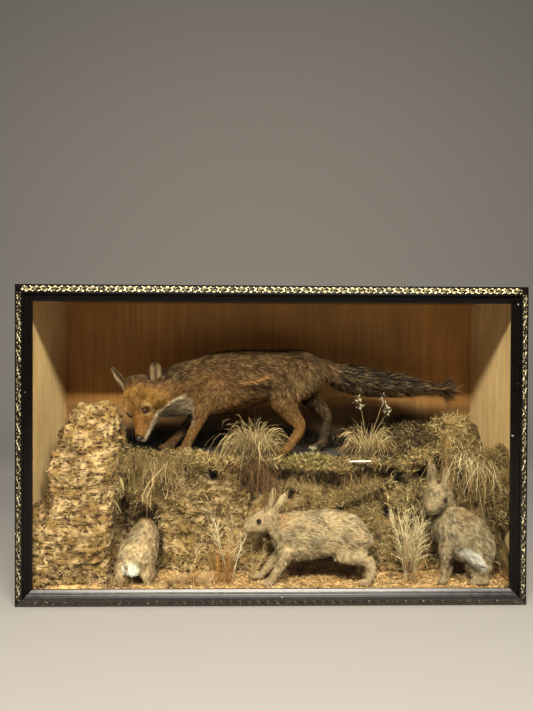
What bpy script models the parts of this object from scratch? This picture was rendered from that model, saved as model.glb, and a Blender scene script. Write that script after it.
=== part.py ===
"""Red fox on a rocky ledge above three rabbits, in a glazed wooden case.

Units are metres.  X runs across the front, Y runs from the glazed front
(-Y) to the back boards, Z is up.  The underside of the case is Z = 0.
"""
import math

import bmesh
import bpy
import numpy as np
from mathutils import Matrix, Vector, noise

# ---------------------------------------------------------------- case
CASE_W = 1.400            # outside width of the front frame
CASE_D = 0.420            # glazed front to back boards
CASE_H = 0.876            # height of the front frame
FRONT_Y = -CASE_D / 2
BACK_Y = CASE_D / 2
GAP = 0.0003              # clearance between neighbouring pieces
FRAME_W = 0.046           # width of the frame moulding
FRAME_T = 0.026           # depth of the frame moulding
REBATE_W = 0.010
REBATE_T = 0.004
GLASS_T = 0.003
BOARD = 0.018             # side, top and floor boards
BACK_T = 0.012
SIDE_INSET = 0.006        # boards stand in from the frame's edge
PLANKS = 4
FRAME_BACK_Y = FRONT_Y + FRAME_T
IN_X = CASE_W / 2 - SIDE_INSET - BOARD - GAP      # inner half width
IN_Y0 = FRAME_BACK_Y + GAP
IN_Y1 = BACK_Y - BACK_T - GAP
FLOOR_Z = BOARD + GAP

# ---------------------------------------------------------------- ledge
LEDGE_Z = 0.385           # level the fox stands on
GROUND_Z = 0.034          # level the rabbits stand on
GROUND_CUT_Z = 0.046      # thin cut between ground and rockwork
ROCK_VOXEL = 0.011
ROCK_TRIS = 1260

# ---------------------------------------------------------------- fox
FOX_VOXEL = 0.0055
FOX_TRIS = 2860
TRUNK_Y = 0.020
HEAD_C = Vector((-0.375, -0.038, 0.536))
HEAD_PITCH = math.radians(50)
HEAD_YAW = math.radians(34)
HEAD_TILT = math.radians(18)   # crown leans towards -X
NOSE_T = 0.114            # skull centre to nose tip along the muzzle
EYE_R = 0.0088
EYE_T, EYE_S, EYE_U = 0.034, 0.0305, 0.0215
EAR_LEN = 0.078
NEAR_Y, FAR_Y = -0.030, 0.070

# ---------------------------------------------------------------- rabbits
RABBIT_VOXEL = 0.0040
RABBIT_TRIS = 580
RABBIT_Y = -0.112

MATERIALS = {
    "ebonised_frame": ((0.012, 0.011, 0.011, 1), 0.35, 0.0),
    "case_glass": ((0.80, 0.84, 0.82, 1), 0.05, 0.0),
    "case_pine": ((0.42, 0.27, 0.12, 1), 0.60, 0.0),
    "rock_moss": ((0.30, 0.22, 0.10, 1), 0.90, 0.0),
    "cork_bark": ((0.48, 0.34, 0.16, 1), 0.90, 0.0),
    "fox_grizzle": ((0.20, 0.12, 0.06, 1), 0.80, 0.0),
    "fox_orange": ((0.46, 0.22, 0.07, 1), 0.80, 0.0),
    "fox_dark": ((0.07, 0.04, 0.02, 1), 0.80, 0.0),
    "fox_eye_glass": ((0.03, 0.015, 0.006, 1), 0.08, 0.0),
    "fox_nose_skin": ((0.015, 0.012, 0.011, 1), 0.45, 0.0),
    "rabbit_coat": ((0.42, 0.32, 0.19, 1), 0.85, 0.0),
}


def clear_scene():
    for obj in list(bpy.data.objects):
        bpy.data.objects.remove(obj, do_unlink=True)


def material(slot):
    mat = bpy.data.materials.get(slot)
    if mat is None:
        colour, rough, metal = MATERIALS[slot]
        mat = bpy.data.materials.new(slot)
        mat.use_nodes = True
        bsdf = mat.node_tree.nodes["Principled BSDF"]
        bsdf.inputs["Base Color"].default_value = colour
        bsdf.inputs["Roughness"].default_value = rough
        bsdf.inputs["Metallic"].default_value = metal
        mat.diffuse_color = colour
    return mat


def add_object(name, mesh, slot=None, smooth=0.0):
    obj = bpy.data.objects.new(name, mesh)
    bpy.context.scene.collection.objects.link(obj)
    if slot:
        mesh.materials.clear()
        mesh.materials.append(material(slot))
    if smooth:
        mesh.shade_smooth()
        mesh.set_sharp_from_angle(angle=math.radians(smooth))
    return obj


def mesh_from(verts, faces, name="work"):
    mesh = bpy.data.meshes.new(name)
    mesh.from_pydata([tuple(v) for v in verts], [], faces)
    mesh.validate()
    bm = bmesh.new()
    bm.from_mesh(mesh)
    bmesh.ops.recalc_face_normals(bm, faces=bm.faces)
    bm.to_mesh(mesh)
    bm.free()
    return mesh


def box_data(x0, x1, y0, y1, z0, z1):
    verts = [(x, y, z) for z in (z0, z1) for y in (y0, y1) for x in (x0, x1)]
    faces = [(0, 2, 3, 1), (4, 5, 7, 6), (0, 1, 5, 4),
             (2, 6, 7, 3), (0, 4, 6, 2), (1, 3, 7, 5)]
    return verts, faces


def box_piece(name, limits, slot):
    return add_object(name, mesh_from(*box_data(*limits), name), slot)


def join_data(parts):
    verts, faces = [], []
    for part_verts, part_faces in parts:
        start = len(verts)
        verts.extend(part_verts)
        faces.extend(tuple(i + start for i in f) for f in part_faces)
    return verts, faces


def ring_loft(rings):
    """Closed skin over rings of equal length, with fan caps."""
    count = len(rings[0])
    verts = [Vector(p) for ring in rings for p in ring]
    faces = []
    for r in range(len(rings) - 1):
        for k in range(count):
            a, b = r * count + k, r * count + (k + 1) % count
            faces.append((a, b, b + count, a + count))
    for ring_index in (0, len(rings) - 1):
        centre = sum((Vector(p) for p in rings[ring_index]), Vector()) / count
        verts.append(centre)
        mid = len(verts) - 1
        base = ring_index * count
        for k in range(count):
            pair = (base + k, base + (k + 1) % count)
            faces.append(pair + (mid,) if ring_index else pair[::-1] + (mid,))
    return verts, faces


def limb(points, segments=14, up=(0, 0, 1)):
    """Tube along (x, y, z, half_side, half_up) stations."""
    path = [Vector(p[:3]) for p in points]
    rings = []
    for i, centre in enumerate(path):
        ahead = path[min(i + 1, len(path) - 1)]
        behind = path[max(i - 1, 0)]
        axis = (ahead - behind).normalized()
        side = axis.cross(Vector(up)).normalized()
        lift = side.cross(axis).normalized()
        half_side, half_up = points[i][3], points[i][4]
        ring = []
        for k in range(segments):
            angle = 2 * math.pi * k / segments
            ring.append(centre + side * (half_side * math.cos(angle))
                        + lift * (half_up * math.sin(angle)))
        rings.append(ring)
    return ring_loft(rings)


def tapered(points, up=(0, 0, 1), segments=12):
    """Tube along (x, y, z, radius) stations, equal both ways."""
    return limb([(x, y, z, r, r) for x, y, z, r in points], segments, up)


def side_profile(stations, segments=18):
    """Body along X from (x, y, z_top, z_bottom, half_width) stations."""
    rings = []
    for x, y, top, bottom, half in stations:
        mid, rise = (top + bottom) / 2, (top - bottom) / 2
        ring = []
        for k in range(segments):
            angle = 2 * math.pi * k / segments
            squash = 1 - 0.10 * max(0.0, -math.sin(angle))
            ring.append((x, y + half * squash * math.cos(angle),
                         mid + rise * math.sin(angle)))
        rings.append(ring)
    return ring_loft(rings)


def ellipsoid(centre, radii, axes=None, around=14, up_steps=8):
    """Closed ball with three radii, along three given axes."""
    axes = axes or (Vector((1, 0, 0)), Vector((0, 1, 0)), Vector((0, 0, 1)))
    centre = Vector(centre)
    verts, faces = [], []

    def place(a, b, c):
        return centre + axes[0] * (a * radii[0]) + axes[1] * (b * radii[1]) \
            + axes[2] * (c * radii[2])

    for i in range(1, up_steps):
        lat = math.pi * i / up_steps
        for k in range(around):
            lon = 2 * math.pi * k / around
            verts.append(place(math.sin(lat) * math.cos(lon),
                               math.sin(lat) * math.sin(lon), math.cos(lat)))
    verts.append(place(0, 0, 1))
    verts.append(place(0, 0, -1))
    top, low = len(verts) - 2, len(verts) - 1
    last = (up_steps - 2) * around
    for k in range(around):
        nxt = (k + 1) % around
        faces.append((top, k, nxt))
        faces.append((low, last + nxt, last + k))
        for i in range(up_steps - 2):
            a, b = i * around + k, i * around + nxt
            faces.append((a, a + around, b + around, b))
    return verts, faces


def evaluated(obj):
    bpy.context.view_layer.update()
    graph = bpy.context.evaluated_depsgraph_get()
    mesh = bpy.data.meshes.new_from_object(obj.evaluated_get(graph))
    obj.modifiers.clear()
    obj.data = mesh
    return obj


def blend(name, parts, voxel, smooth_steps, keep=None):
    """One flowing body out of overlapping closed parts."""
    obj = add_object(name, mesh_from(*join_data(parts), name))
    remesh = obj.modifiers.new("remesh", "REMESH")
    remesh.mode = "VOXEL"
    remesh.voxel_size = voxel
    if smooth_steps:
        soften = obj.modifiers.new("soften", "SMOOTH")
        soften.factor = 0.5
        soften.iterations = smooth_steps
    evaluated(obj)
    if keep:
        keep(obj.data)
    return obj


def reduce_to(obj, triangles):
    obj.data.update()
    count = sum(len(p.vertices) - 2 for p in obj.data.polygons)
    thin = obj.modifiers.new("thin", "DECIMATE")
    thin.ratio = min(1.0, triangles / count)
    return evaluated(obj)


def boolean(obj, cutter, operation="DIFFERENCE", remove=True):
    op = obj.modifiers.new("cut", "BOOLEAN")
    op.operation = operation
    op.solver = "EXACT"
    op.use_self = True
    op.object = cutter
    evaluated(obj)
    if remove:
        bpy.data.objects.remove(cutter, do_unlink=True)
    return obj


def cutter_from(parts):
    return add_object("cutter", mesh_from(*join_data(parts), "cutter"))


def tidy_mesh(obj, dist=1e-6):
    bm = bmesh.new()
    bm.from_mesh(obj.data)
    bmesh.ops.remove_doubles(bm, verts=bm.verts, dist=dist)
    bmesh.ops.dissolve_degenerate(bm, edges=bm.edges, dist=dist)
    for _ in range(6):
        wide = [f for f in bm.faces if len(f.verts) > 4]
        bmesh.ops.triangulate(bm, faces=wide)
        crowded = [e for e in bm.edges if len(e.link_faces) > 2]
        rims = [e for e in bm.edges if len(e.link_faces) == 1]
        if not crowded and not rims:
            break
        flaps = {f for e in rims for f in e.link_faces
                 if sum(len(x.link_faces) == 1 for x in f.edges) > 1}
        near = {f for e in crowded for f in e.link_faces}
        if flaps or near:
            bmesh.ops.delete(bm, geom=list(flaps or near), context="FACES")
        else:
            bmesh.ops.holes_fill(bm, edges=rims, sides=0)
        loose = [e for e in bm.edges if not e.link_faces]
        bmesh.ops.delete(bm, geom=loose, context="EDGES")
    bmesh.ops.recalc_face_normals(bm, faces=bm.faces)
    bm.to_mesh(obj.data)
    bm.free()
    return obj


def islands(obj, smallest):
    """Split into loose bodies bigger than a given volume."""
    bm = bmesh.new()
    bm.from_mesh(obj.data)
    bm.verts.index_update()
    bm.faces.index_update()
    seen, bodies = set(), []
    for start in bm.verts:
        if start.index in seen:
            continue
        stack, found = [start], []
        seen.add(start.index)
        while stack:
            vert = stack.pop()
            found.append(vert)
            for edge in vert.link_edges:
                other = edge.other_vert(vert)
                if other.index not in seen:
                    seen.add(other.index)
                    stack.append(other)
        index = {v.index: i for i, v in enumerate(found)}
        faces = {f for v in found for f in v.link_faces}
        ordered = sorted(faces, key=lambda f: f.index)
        verts = [v.co.copy() for v in found]
        polys = [tuple(index[v.index] for v in f.verts) for f in ordered]
        mesh = mesh_from(verts, polys, "body")
        probe = bmesh.new()
        probe.from_mesh(mesh)
        volume = abs(probe.calc_volume())
        probe.free()
        if volume > smallest:
            centre = sum(verts, Vector()) / len(verts)
            bodies.append((centre, volume, mesh))
    bm.free()
    bpy.data.objects.remove(obj, do_unlink=True)
    return bodies


def part_out(obj, names, smallest=1e-6, smooth=50):
    """Give each loose body the name whose marker lies nearest."""
    bodies = islands(obj, smallest)
    made = {}
    for name, (marker, slot) in names.items():
        body = min(bodies, key=lambda b: (b[0] - Vector(marker)).length)
        bodies.remove(body)
        made[name] = add_object(name, body[2], slot, smooth)
        body[2].name = name
    print("left over bodies:", [(tuple(round(c, 3) for c in b[0]), b[1])
                                for b in bodies])
    return made


def disc(point, normal, radius, thick=GAP, segments=16):
    """Thin round cutter across a limb."""
    normal = Vector(normal).normalized()
    side = normal.orthogonal().normalized()
    lift = normal.cross(side)
    rings = []
    for step in (-0.5, 0.5):
        centre = Vector(point) + normal * (thick * step)
        rings.append([centre + side * (radius * math.cos(2 * math.pi * k / segments))
                      + lift * (radius * math.sin(2 * math.pi * k / segments))
                      for k in range(segments)])
    return ring_loft(rings)


# ------------------------------------------------------------ the case
FRAME_PROFILE = [
    (0.0000, 0.0000), (0.0000, 0.0110), (0.0030, 0.0125), (0.0220, 0.0245),
    (0.0235, 0.0260), (0.0260, 0.0255), (0.0280, 0.0215), (0.0320, 0.0165),
    (0.0360, 0.0145), (0.0366, 0.0165), (0.0380, 0.0178), (0.0394, 0.0165),
    (0.0400, 0.0145), (0.0460, 0.0095), (0.0460, 0.0040), (0.0360, 0.0040),
    (0.0360, 0.0000)]


def frame_moulding(name, side):
    """One mitred length; side is bottom, top, left or right."""
    half = CASE_W / 2
    mitre = GAP * 0.75
    ends = []
    for end in (-1, 1):
        ring = []
        for inward, rise in FRAME_PROFILE:
            y = FRAME_BACK_Y - rise
            if side in ("bottom", "top"):
                x = end * (half - inward - mitre)
                z = inward if side == "bottom" else CASE_H - inward
            else:
                z = inward + mitre if end < 0 else CASE_H - inward - mitre
                x = (half - inward) * (-1 if side == "left" else 1)
            ring.append((x, y, z))
        ends.append(ring)
    count = len(FRAME_PROFILE)
    verts = ends[0] + ends[1]
    faces = [(k, (k + 1) % count, (k + 1) % count + count, k + count)
             for k in range(count)]
    faces.append(tuple(range(count)))
    faces.append(tuple(range(2 * count - 1, count - 1, -1)))
    return add_object(name, mesh_from(verts, faces, name), "ebonised_frame")


def build_case():
    for side in ("bottom", "top", "left", "right"):
        frame_moulding("frame_" + side, side)
    edge = FRAME_W - REBATE_W + 0.0005
    half = CASE_W / 2
    glass_back = FRAME_BACK_Y - 0.0005
    box_piece("glass_pane", (-half + edge, half - edge, glass_back - GLASS_T,
                             glass_back, edge, CASE_H - edge), "case_glass")
    out_x = half - SIDE_INSET
    in_x = out_x - BOARD
    top_z = CASE_H - 0.004
    y0, y1 = IN_Y0, IN_Y1
    box_piece("board_left", (-out_x, -in_x, y0, y1, 0, top_z), "case_pine")
    box_piece("board_right", (in_x, out_x, y0, y1, 0, top_z), "case_pine")
    box_piece("board_floor", (-in_x + GAP, in_x - GAP, y0, y1, 0, BOARD),
              "case_pine")
    box_piece("board_top", (-in_x + GAP, in_x - GAP, y0, y1, top_z - BOARD,
                            top_z), "case_pine")
    pitch = top_z / PLANKS
    for i in range(PLANKS):
        low = i * pitch + (GAP / 2 if i else 0)
        high = (i + 1) * pitch - (GAP / 2 if i < PLANKS - 1 else 0)
        box_piece("back_plank_%d" % (i + 1),
                  (-out_x, out_x, BACK_Y - BACK_T, BACK_Y, low, high),
                  "case_pine")


# ------------------------------------------------------------ rockwork
PILLAR = [  # z, x_left, x_right, y_front, y_back
    (0.025, -0.636, -0.462, -0.168, -0.040),
    (0.100, -0.640, -0.460, -0.166, -0.036),
    (0.180, -0.645, -0.452, -0.160, -0.030),
    (0.260, -0.646, -0.440, -0.150, -0.020),
    (0.345, -0.643, -0.428, -0.138, -0.010),
    (0.407, -0.636, -0.424, -0.130, 0.000),
    (0.455, -0.624, -0.430, -0.122, 0.006),
    (0.497, -0.606, -0.448, -0.112, 0.008),
    (0.527, -0.578, -0.462, -0.100, 0.004),
    (0.546, -0.550, -0.474, -0.085, -0.006)]
MOUND = [
    (0.050, 0.500, 0.640, 0.000, 0.150),
    (0.200, 0.498, 0.640, -0.008, 0.150),
    (0.330, 0.496, 0.640, -0.020, 0.140),
    (0.400, 0.494, 0.642, -0.024, 0.130),
    (0.440, 0.498, 0.636, -0.020, 0.120),
    (0.475, 0.508, 0.618, -0.010, 0.100),
    (0.496, 0.524, 0.590, 0.006, 0.080)]
LEFT_BLOCK = [
    (0.025, -0.690, -0.632, -0.172, -0.020),
    (0.150, -0.690, -0.640, -0.168, -0.020),
    (0.240, -0.690, -0.650, -0.150, -0.030),
    (0.268, -0.690, -0.668, -0.130, -0.050)]
RIGHT_BANK = [
    (0.025, 0.664, 0.700, -0.178, 0.020),
    (0.200, 0.664, 0.700, -0.176, 0.020),
    (0.300, 0.648, 0.700, -0.165, 0.020),
    (0.380, 0.650, 0.700, -0.150, 0.015),
    (0.425, 0.666, 0.700, -0.125, 0.000)]
CORK_WALL = [
    (0.030, -0.420, -0.060, -0.030, 0.050),
    (0.120, -0.430, -0.062, -0.034, 0.050),
    (0.220, -0.436, -0.066, -0.040, 0.050),
    (0.300, -0.436, -0.070, -0.050, 0.050),
    (0.360, -0.436, -0.060, -0.064, 0.050),
    (0.392, -0.436, -0.050, -0.070, -0.040)]


def column(stations, power=4.0, segments=20):
    """Upright mass with rounded-square sections."""
    rings = []
    for z, x0, x1, y0, y1 in stations:
        cx, cy = (x0 + x1) / 2, (y0 + y1) / 2
        hx, hy = (x1 - x0) / 2, (y1 - y0) / 2
        ring = []
        for k in range(segments):
            angle = 2 * math.pi * k / segments
            c, s = math.cos(angle), math.sin(angle)
            reach = (abs(c) ** power + abs(s) ** power) ** (-1 / power)
            ring.append((cx + hx * c * reach, cy + hy * s * reach, z))
        rings.append(ring)
    return ring_loft(rings)


def prism(profile, x0, x1):
    """Wedge with a (y, z) side profile, running along X."""
    count = len(profile)
    verts = [(x0, y, z) for y, z in profile] + [(x1, y, z) for y, z in profile]
    faces = [(k, (k + 1) % count, (k + 1) % count + count, k + count)
             for k in range(count)]
    faces.append(tuple(range(count)))
    faces.append(tuple(range(2 * count - 1, count - 1, -1)))
    return verts, faces


def rock_parts():
    parts = [column(PILLAR), column(MOUND), column(LEFT_BLOCK),
             column(RIGHT_BANK), column(CORK_WALL)]
    # base under everything and the shelf carrying the fox
    parts.append(box_data(-0.70, 0.70, -0.20, 0.22, 0.00, GROUND_Z + 0.004))
    parts.append(box_data(-0.425, 0.70, -0.020, 0.22, 0.02, LEDGE_Z + 0.002))
    parts.append(box_data(-0.590, -0.40, 0.020, 0.22, 0.02, LEDGE_Z + 0.002))
    # bank under the right half of the shelf, sloping to the ground
    slope = [(0.05, 0.02), (-0.052, 0.02), (-0.046, 0.10), (-0.030, 0.20),
             (0.000, 0.29), (0.05, 0.30)]
    parts.append(prism(slope, -0.08, 0.50))
    # sheet of bark leaning from upper right to lower left
    parts.append(limb([(0.060, -0.045, 0.175, 0.030, 0.014),
                       (0.160, -0.045, 0.225, 0.036, 0.016),
                       (0.270, -0.038, 0.275, 0.040, 0.016),
                       (0.400, -0.026, 0.330, 0.040, 0.016),
                       (0.440, -0.020, 0.345, 0.030, 0.012)]))
    # mossy lip along the front of the shelf
    parts.append(limb([(-0.425, -0.060, 0.385, 0.022, 0.020),
                       (-0.330, -0.066, 0.386, 0.024, 0.020),
                       (-0.200, -0.066, 0.378, 0.024, 0.022),
                       (-0.060, -0.060, 0.372, 0.022, 0.020),
                       (0.080, -0.058, 0.366, 0.024, 0.024),
                       (0.220, -0.058, 0.364, 0.024, 0.026),
                       (0.360, -0.056, 0.370, 0.024, 0.026),
                       (0.480, -0.048, 0.385, 0.024, 0.024),
                       (0.530, -0.030, 0.390, 0.024, 0.020)]))
    # stones and clods at the foot of the bank
    for x, y, z, rx, ry, rz in [(-0.255, -0.040, 0.070, 0.060, 0.028, 0.050),
                                (-0.130, -0.040, 0.085, 0.055, 0.026, 0.070),
                                (0.020, -0.038, 0.090, 0.060, 0.030, 0.080),
                                (0.330, -0.052, 0.080, 0.075, 0.040, 0.065),
                                (0.430, -0.040, 0.120, 0.055, 0.040, 0.110),
                                (-0.300, -0.030, 0.310, 0.050, 0.034, 0.050),
                                (0.390, -0.020, 0.260, 0.070, 0.035, 0.050)]:
        parts.append(ellipsoid((x, y, z), (rx, ry, rz)))
    # dark slope rising behind the shelf on the right
    back = [(0.210, 0.36), (0.050, 0.36), (0.085, 0.42), (0.125, 0.462),
            (0.210, 0.470)]
    parts.append(prism(back, 0.430, 0.700))
    parts.append(limb([(0.330, 0.140, 0.395, 0.040, 0.020),
                       (0.400, 0.140, 0.410, 0.050, 0.034),
                       (0.470, 0.140, 0.425, 0.060, 0.044)]))
    return parts


def roughen(mesh):
    """Push faces in and out with lumpy, layered noise."""
    count = len(mesh.vertices)
    coords = np.empty(count * 3)
    normals = np.empty(count * 3)
    mesh.vertices.foreach_get("co", coords)
    mesh.vertices.foreach_get("normal", normals)
    coords, normals = coords.reshape(-1, 3), normals.reshape(-1, 3)
    for i in range(count):
        spot = Vector(coords[i])
        lump = noise.noise(spot * 11.0) * 0.012
        lump += noise.noise(spot * 27.0 + Vector((5, 3, 1))) * 0.006
        if spot.y > 0.02:
            lump *= 0.35
        if spot.z < 0.05:
            lump *= 0.35
        coords[i] += normals[i] * (lump - 0.003)
    mesh.vertices.foreach_set("co", coords.ravel())
    mesh.update()


def build_rockwork():
    rock = blend("rockwork", rock_parts(), ROCK_VOXEL, 2, roughen)
    reduce_to(rock, ROCK_TRIS)
    hollows = [
        ((-0.165, -0.070, 0.330), (0.022, 0.030, 0.020)),
        ((-0.040, -0.050, 0.300), (0.024, 0.040, 0.050)),
        ((-0.345, -0.045, 0.222), (0.014, 0.030, 0.022)),
        ((0.110, -0.070, 0.245), (0.045, 0.035, 0.016)),
        ((0.420, -0.055, 0.300), (0.024, 0.030, 0.030))]
    for centre, radii in hollows:
        boolean(rock, cutter_from([ellipsoid(centre, radii, None, 10, 6)]))
    big = 1.0
    trims = [
        (-big, -IN_X, -big, big, -big, big),
        (IN_X, big, -big, big, -big, big),
        (-big, big, -big, IN_Y0 + 0.002, -big, big),
        (-big, big, IN_Y1 - GAP, big, -big, big),
        (-big, big, -big, big, -big, FLOOR_Z),
        # level standing places
        (-0.415, 0.320, -0.050, big, LEDGE_Z, 0.60),
        (-0.452, 0.655, -0.168, -0.066, GROUND_Z, 0.30),
        (-0.105, 0.318, -0.168, -0.049, GROUND_Z, 0.31),
        (0.470, 0.660, -0.168, -0.045, GROUND_Z, 0.38),
        (0.412, 0.480, -0.168, -0.056, GROUND_Z, 0.345),
        # open hollow behind the shelf front
        (-0.560, 0.640, 0.060, big, 0.060, 0.350)]
    for limits in trims:
        boolean(rock, cutter_from([box_data(*limits)]))
    # room for the left rabbit in its burrow and for the right one
    boolean(rock, cutter_from([ellipsoid((-0.384, -0.060, 0.120),
                                         (0.067, 0.098, 0.128))]))
    cuts = [
        box_data(-big, big, -big, big, GROUND_CUT_Z, GROUND_CUT_Z + GAP),
        box_data(-0.4303, -0.4300, -big, 0.0140, GROUND_CUT_Z + GAP / 2, big),
        box_data(-big, -0.4300, 0.0137, 0.0140, GROUND_CUT_Z + GAP / 2, big),
        box_data(0.4900, 0.4903, -big, big, GROUND_CUT_Z + GAP / 2, big)]
    for cut in cuts:
        boolean(rock, cutter_from([cut]))
    tidy_mesh(rock)
    return rock


# ------------------------------------------------------------ the fox
def head_axes():
    level = Vector((-math.sin(HEAD_YAW), -math.cos(HEAD_YAW), 0))
    ahead = level * math.cos(HEAD_PITCH) - Vector((0, 0, math.sin(HEAD_PITCH)))
    crown = level * math.sin(HEAD_PITCH) + Vector((0, 0, math.cos(HEAD_PITCH)))
    side = crown.cross(ahead).normalized()
    tilt = Matrix.Rotation(-HEAD_TILT, 3, "Y")
    return tilt @ ahead.normalized(), tilt @ crown.normalized(), tilt @ side


def head_point(t, s, u):
    ahead, crown, side = head_axes()
    return HEAD_C + ahead * t + side * s + crown * u


def head_loft(stations, segments=20):
    """Rings across the muzzle axis: (t, half_width, half_height, lift)."""
    ahead, crown, side = head_axes()
    rings = []
    for t, half_w, half_h, lift in stations:
        ring = []
        for k in range(segments):
            angle = 2 * math.pi * k / segments
            ring.append(head_point(t, half_w * math.cos(angle),
                                   half_h * math.sin(angle) + lift))
        rings.append(ring)
    return ring_loft(rings)


def fox_parts():
    parts = []
    y = TRUNK_Y
    parts.append(side_profile([
        (-0.275, y - 0.012, 0.648, 0.535, 0.050),
        (-0.245, y - 0.006, 0.672, 0.505, 0.066),
        (-0.205, y, 0.690, 0.494, 0.078),
        (-0.150, y, 0.699, 0.496, 0.081),
        (-0.095, y, 0.704, 0.508, 0.082),
        (-0.040, y, 0.704, 0.530, 0.076),
        (0.010, y, 0.703, 0.550, 0.070),
        (0.060, y, 0.705, 0.556, 0.074),
        (0.105, y, 0.703, 0.560, 0.076),
        (0.140, y, 0.690, 0.572, 0.064),
        (0.166, y, 0.668, 0.600, 0.042)]))
    # neck, running forward and towards the front glass
    parts.append(limb([(-0.220, 0.016, 0.598, 0.066, 0.080),
                       (-0.262, 0.006, 0.580, 0.064, 0.086),
                       (-0.298, -0.006, 0.568, 0.060, 0.080),
                       (-0.328, -0.018, 0.552, 0.053, 0.066),
                       (-0.356, -0.030, 0.540, 0.046, 0.050)], 18))
    # ruff on the crown between the ears
    parts.append(ellipsoid((-0.398, -0.006, 0.592), (0.052, 0.038, 0.034)))
    # skull and muzzle
    parts.append(head_loft([
        (-0.074, 0.028, 0.026, 0.000), (-0.056, 0.060, 0.048, 0.002),
        (-0.030, 0.080, 0.061, 0.003), (-0.005, 0.083, 0.061, 0.001),
        (0.018, 0.070, 0.053, -0.002), (0.036, 0.049, 0.043, -0.005),
        (0.052, 0.034, 0.034, -0.009), (0.070, 0.0265, 0.028, -0.011),
        (0.085, 0.0220, 0.0240, -0.012), (0.100, 0.0185, 0.0200, -0.012),
        (0.110, 0.0135, 0.0150, -0.012)]))
    # brow ridges and cheek ruffs
    for s in (-1, 1):
        parts.append(ellipsoid(head_point(0.022, s * 0.030, 0.030),
                               (0.018, 0.014, 0.012), head_axes()))
        parts.append(ellipsoid(head_point(-0.008, s * 0.052, -0.026),
                               (0.036, 0.028, 0.026), head_axes()))
    # brush
    parts.append(tapered([
        (0.130, 0.020, 0.652, 0.034), (0.168, 0.024, 0.640, 0.038),
        (0.205, 0.029, 0.622, 0.046), (0.250, 0.036, 0.610, 0.052),
        (0.310, 0.043, 0.600, 0.053), (0.370, 0.048, 0.593, 0.050),
        (0.430, 0.052, 0.587, 0.044), (0.490, 0.056, 0.582, 0.035),
        (0.540, 0.059, 0.578, 0.025), (0.578, 0.060, 0.575, 0.011)], segments=16))
    fore = [(-0.175, 0.600, 0.044, 0.030), (-0.186, 0.555, 0.030, 0.026),
            (-0.208, 0.510, 0.024, 0.021), (-0.230, 0.465, 0.0185, 0.0165),
            (-0.248, 0.428, 0.0160, 0.0155), (-0.258, 0.404, 0.0170, 0.0170)]
    parts += fore_leg(fore, NEAR_Y, 0.0)
    far = [(x * 1.0, z, a, b) for x, z, a, b in fore]
    parts += fore_leg(far, FAR_Y, 1.0)
    parts += hind_leg([(0.088, 0.682, 0.030, 0.014), (0.082, 0.655, 0.058, 0.034),
                       (0.066, 0.615, 0.074, 0.043),
                       (0.044, 0.575, 0.064, 0.037), (0.038, 0.538, 0.044, 0.029),
                       (0.062, 0.504, 0.029, 0.0215), (0.086, 0.477, 0.0210, 0.0175),
                       (0.084, 0.456, 0.0180, 0.0155), (0.062, 0.425, 0.0160, 0.0150),
                       (0.048, 0.402, 0.0170, 0.0170)], NEAR_Y + 0.006, 0.030)
    parts += hind_leg([(0.102, 0.682, 0.026, 0.014), (0.105, 0.655, 0.048, 0.032),
                       (0.110, 0.615, 0.056, 0.038),
                       (0.112, 0.575, 0.046, 0.032), (0.130, 0.543, 0.032, 0.025),
                       (0.156, 0.518, 0.026, 0.0205), (0.176, 0.495, 0.0200, 0.0175),
                       (0.178, 0.472, 0.0170, 0.0155), (0.168, 0.432, 0.0160, 0.0150),
                       (0.162, 0.404, 0.0170, 0.0170)], FAR_Y - 0.006, 0.146)
    # fold of skin from flank to knee
    parts.append(tapered([(-0.120, -0.046, 0.590, 0.008),
                          (-0.070, -0.050, 0.594, 0.012),
                          (-0.025, -0.048, 0.604, 0.013),
                          (0.010, -0.044, 0.600, 0.014)]))
    return parts


def fore_leg(stations, y, reach):
    """Leg from shoulder to wrist, with a paw flat on the ledge."""
    points = []
    for i, (x, z, along, across) in enumerate(stations):
        drift = reach * 0.058 * max(0, i - 1) / (len(stations) - 2)
        inset = 0.010 * (1 - i / (len(stations) - 1))
        centre_y = y + inset if y < 0 else y - inset
        points.append((x - drift, centre_y, z, across, along))
    end_x = stations[-1][0] - reach * 0.058
    return [limb(points, 14, (1, 0, 0)), paw(end_x - 0.010, y, 0.024)]


def hind_leg(stations, y, paw_x):
    points = []
    for i, (x, z, along, across) in enumerate(stations):
        points.append((x, y, z, across, along))
    return [limb(points, 14, (1, 0, 0)), paw(paw_x, y, 0.025)]


def paw(x, y, half_len):
    """Paw lying along X, toes towards -X."""
    return limb([(x + half_len, y, LEDGE_Z + 0.012, 0.011, 0.010),
                 (x + half_len * 0.4, y, LEDGE_Z + 0.012, 0.0155, 0.013),
                 (x - half_len * 0.3, y, LEDGE_Z + 0.010, 0.0175, 0.0125),
                 (x - half_len * 0.8, y, LEDGE_Z + 0.008, 0.0160, 0.0105),
                 (x - half_len * 1.1, y, LEDGE_Z + 0.006, 0.0095, 0.0070)], 12)


FOX_NODES = {
    "fox_head": ((-0.385, -0.055, 0.520), "fox_orange"),
    "fox_neck": ((-0.290, -0.003, 0.585), "fox_grizzle"),
    "fox_trunk": ((-0.020, 0.020, 0.610), "fox_grizzle"),
    "fox_tail": ((0.360, 0.047, 0.595), "fox_dark"),
    "fox_foreleg_left": ((-0.240, NEAR_Y, 0.440), "fox_orange"),
    "fox_foreleg_right": ((-0.290, FAR_Y, 0.440), "fox_dark"),
    "fox_hindleg_left": ((0.060, NEAR_Y, 0.440), "fox_orange"),
    "fox_hindleg_right": ((0.165, FAR_Y, 0.440), "fox_dark")}


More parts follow.
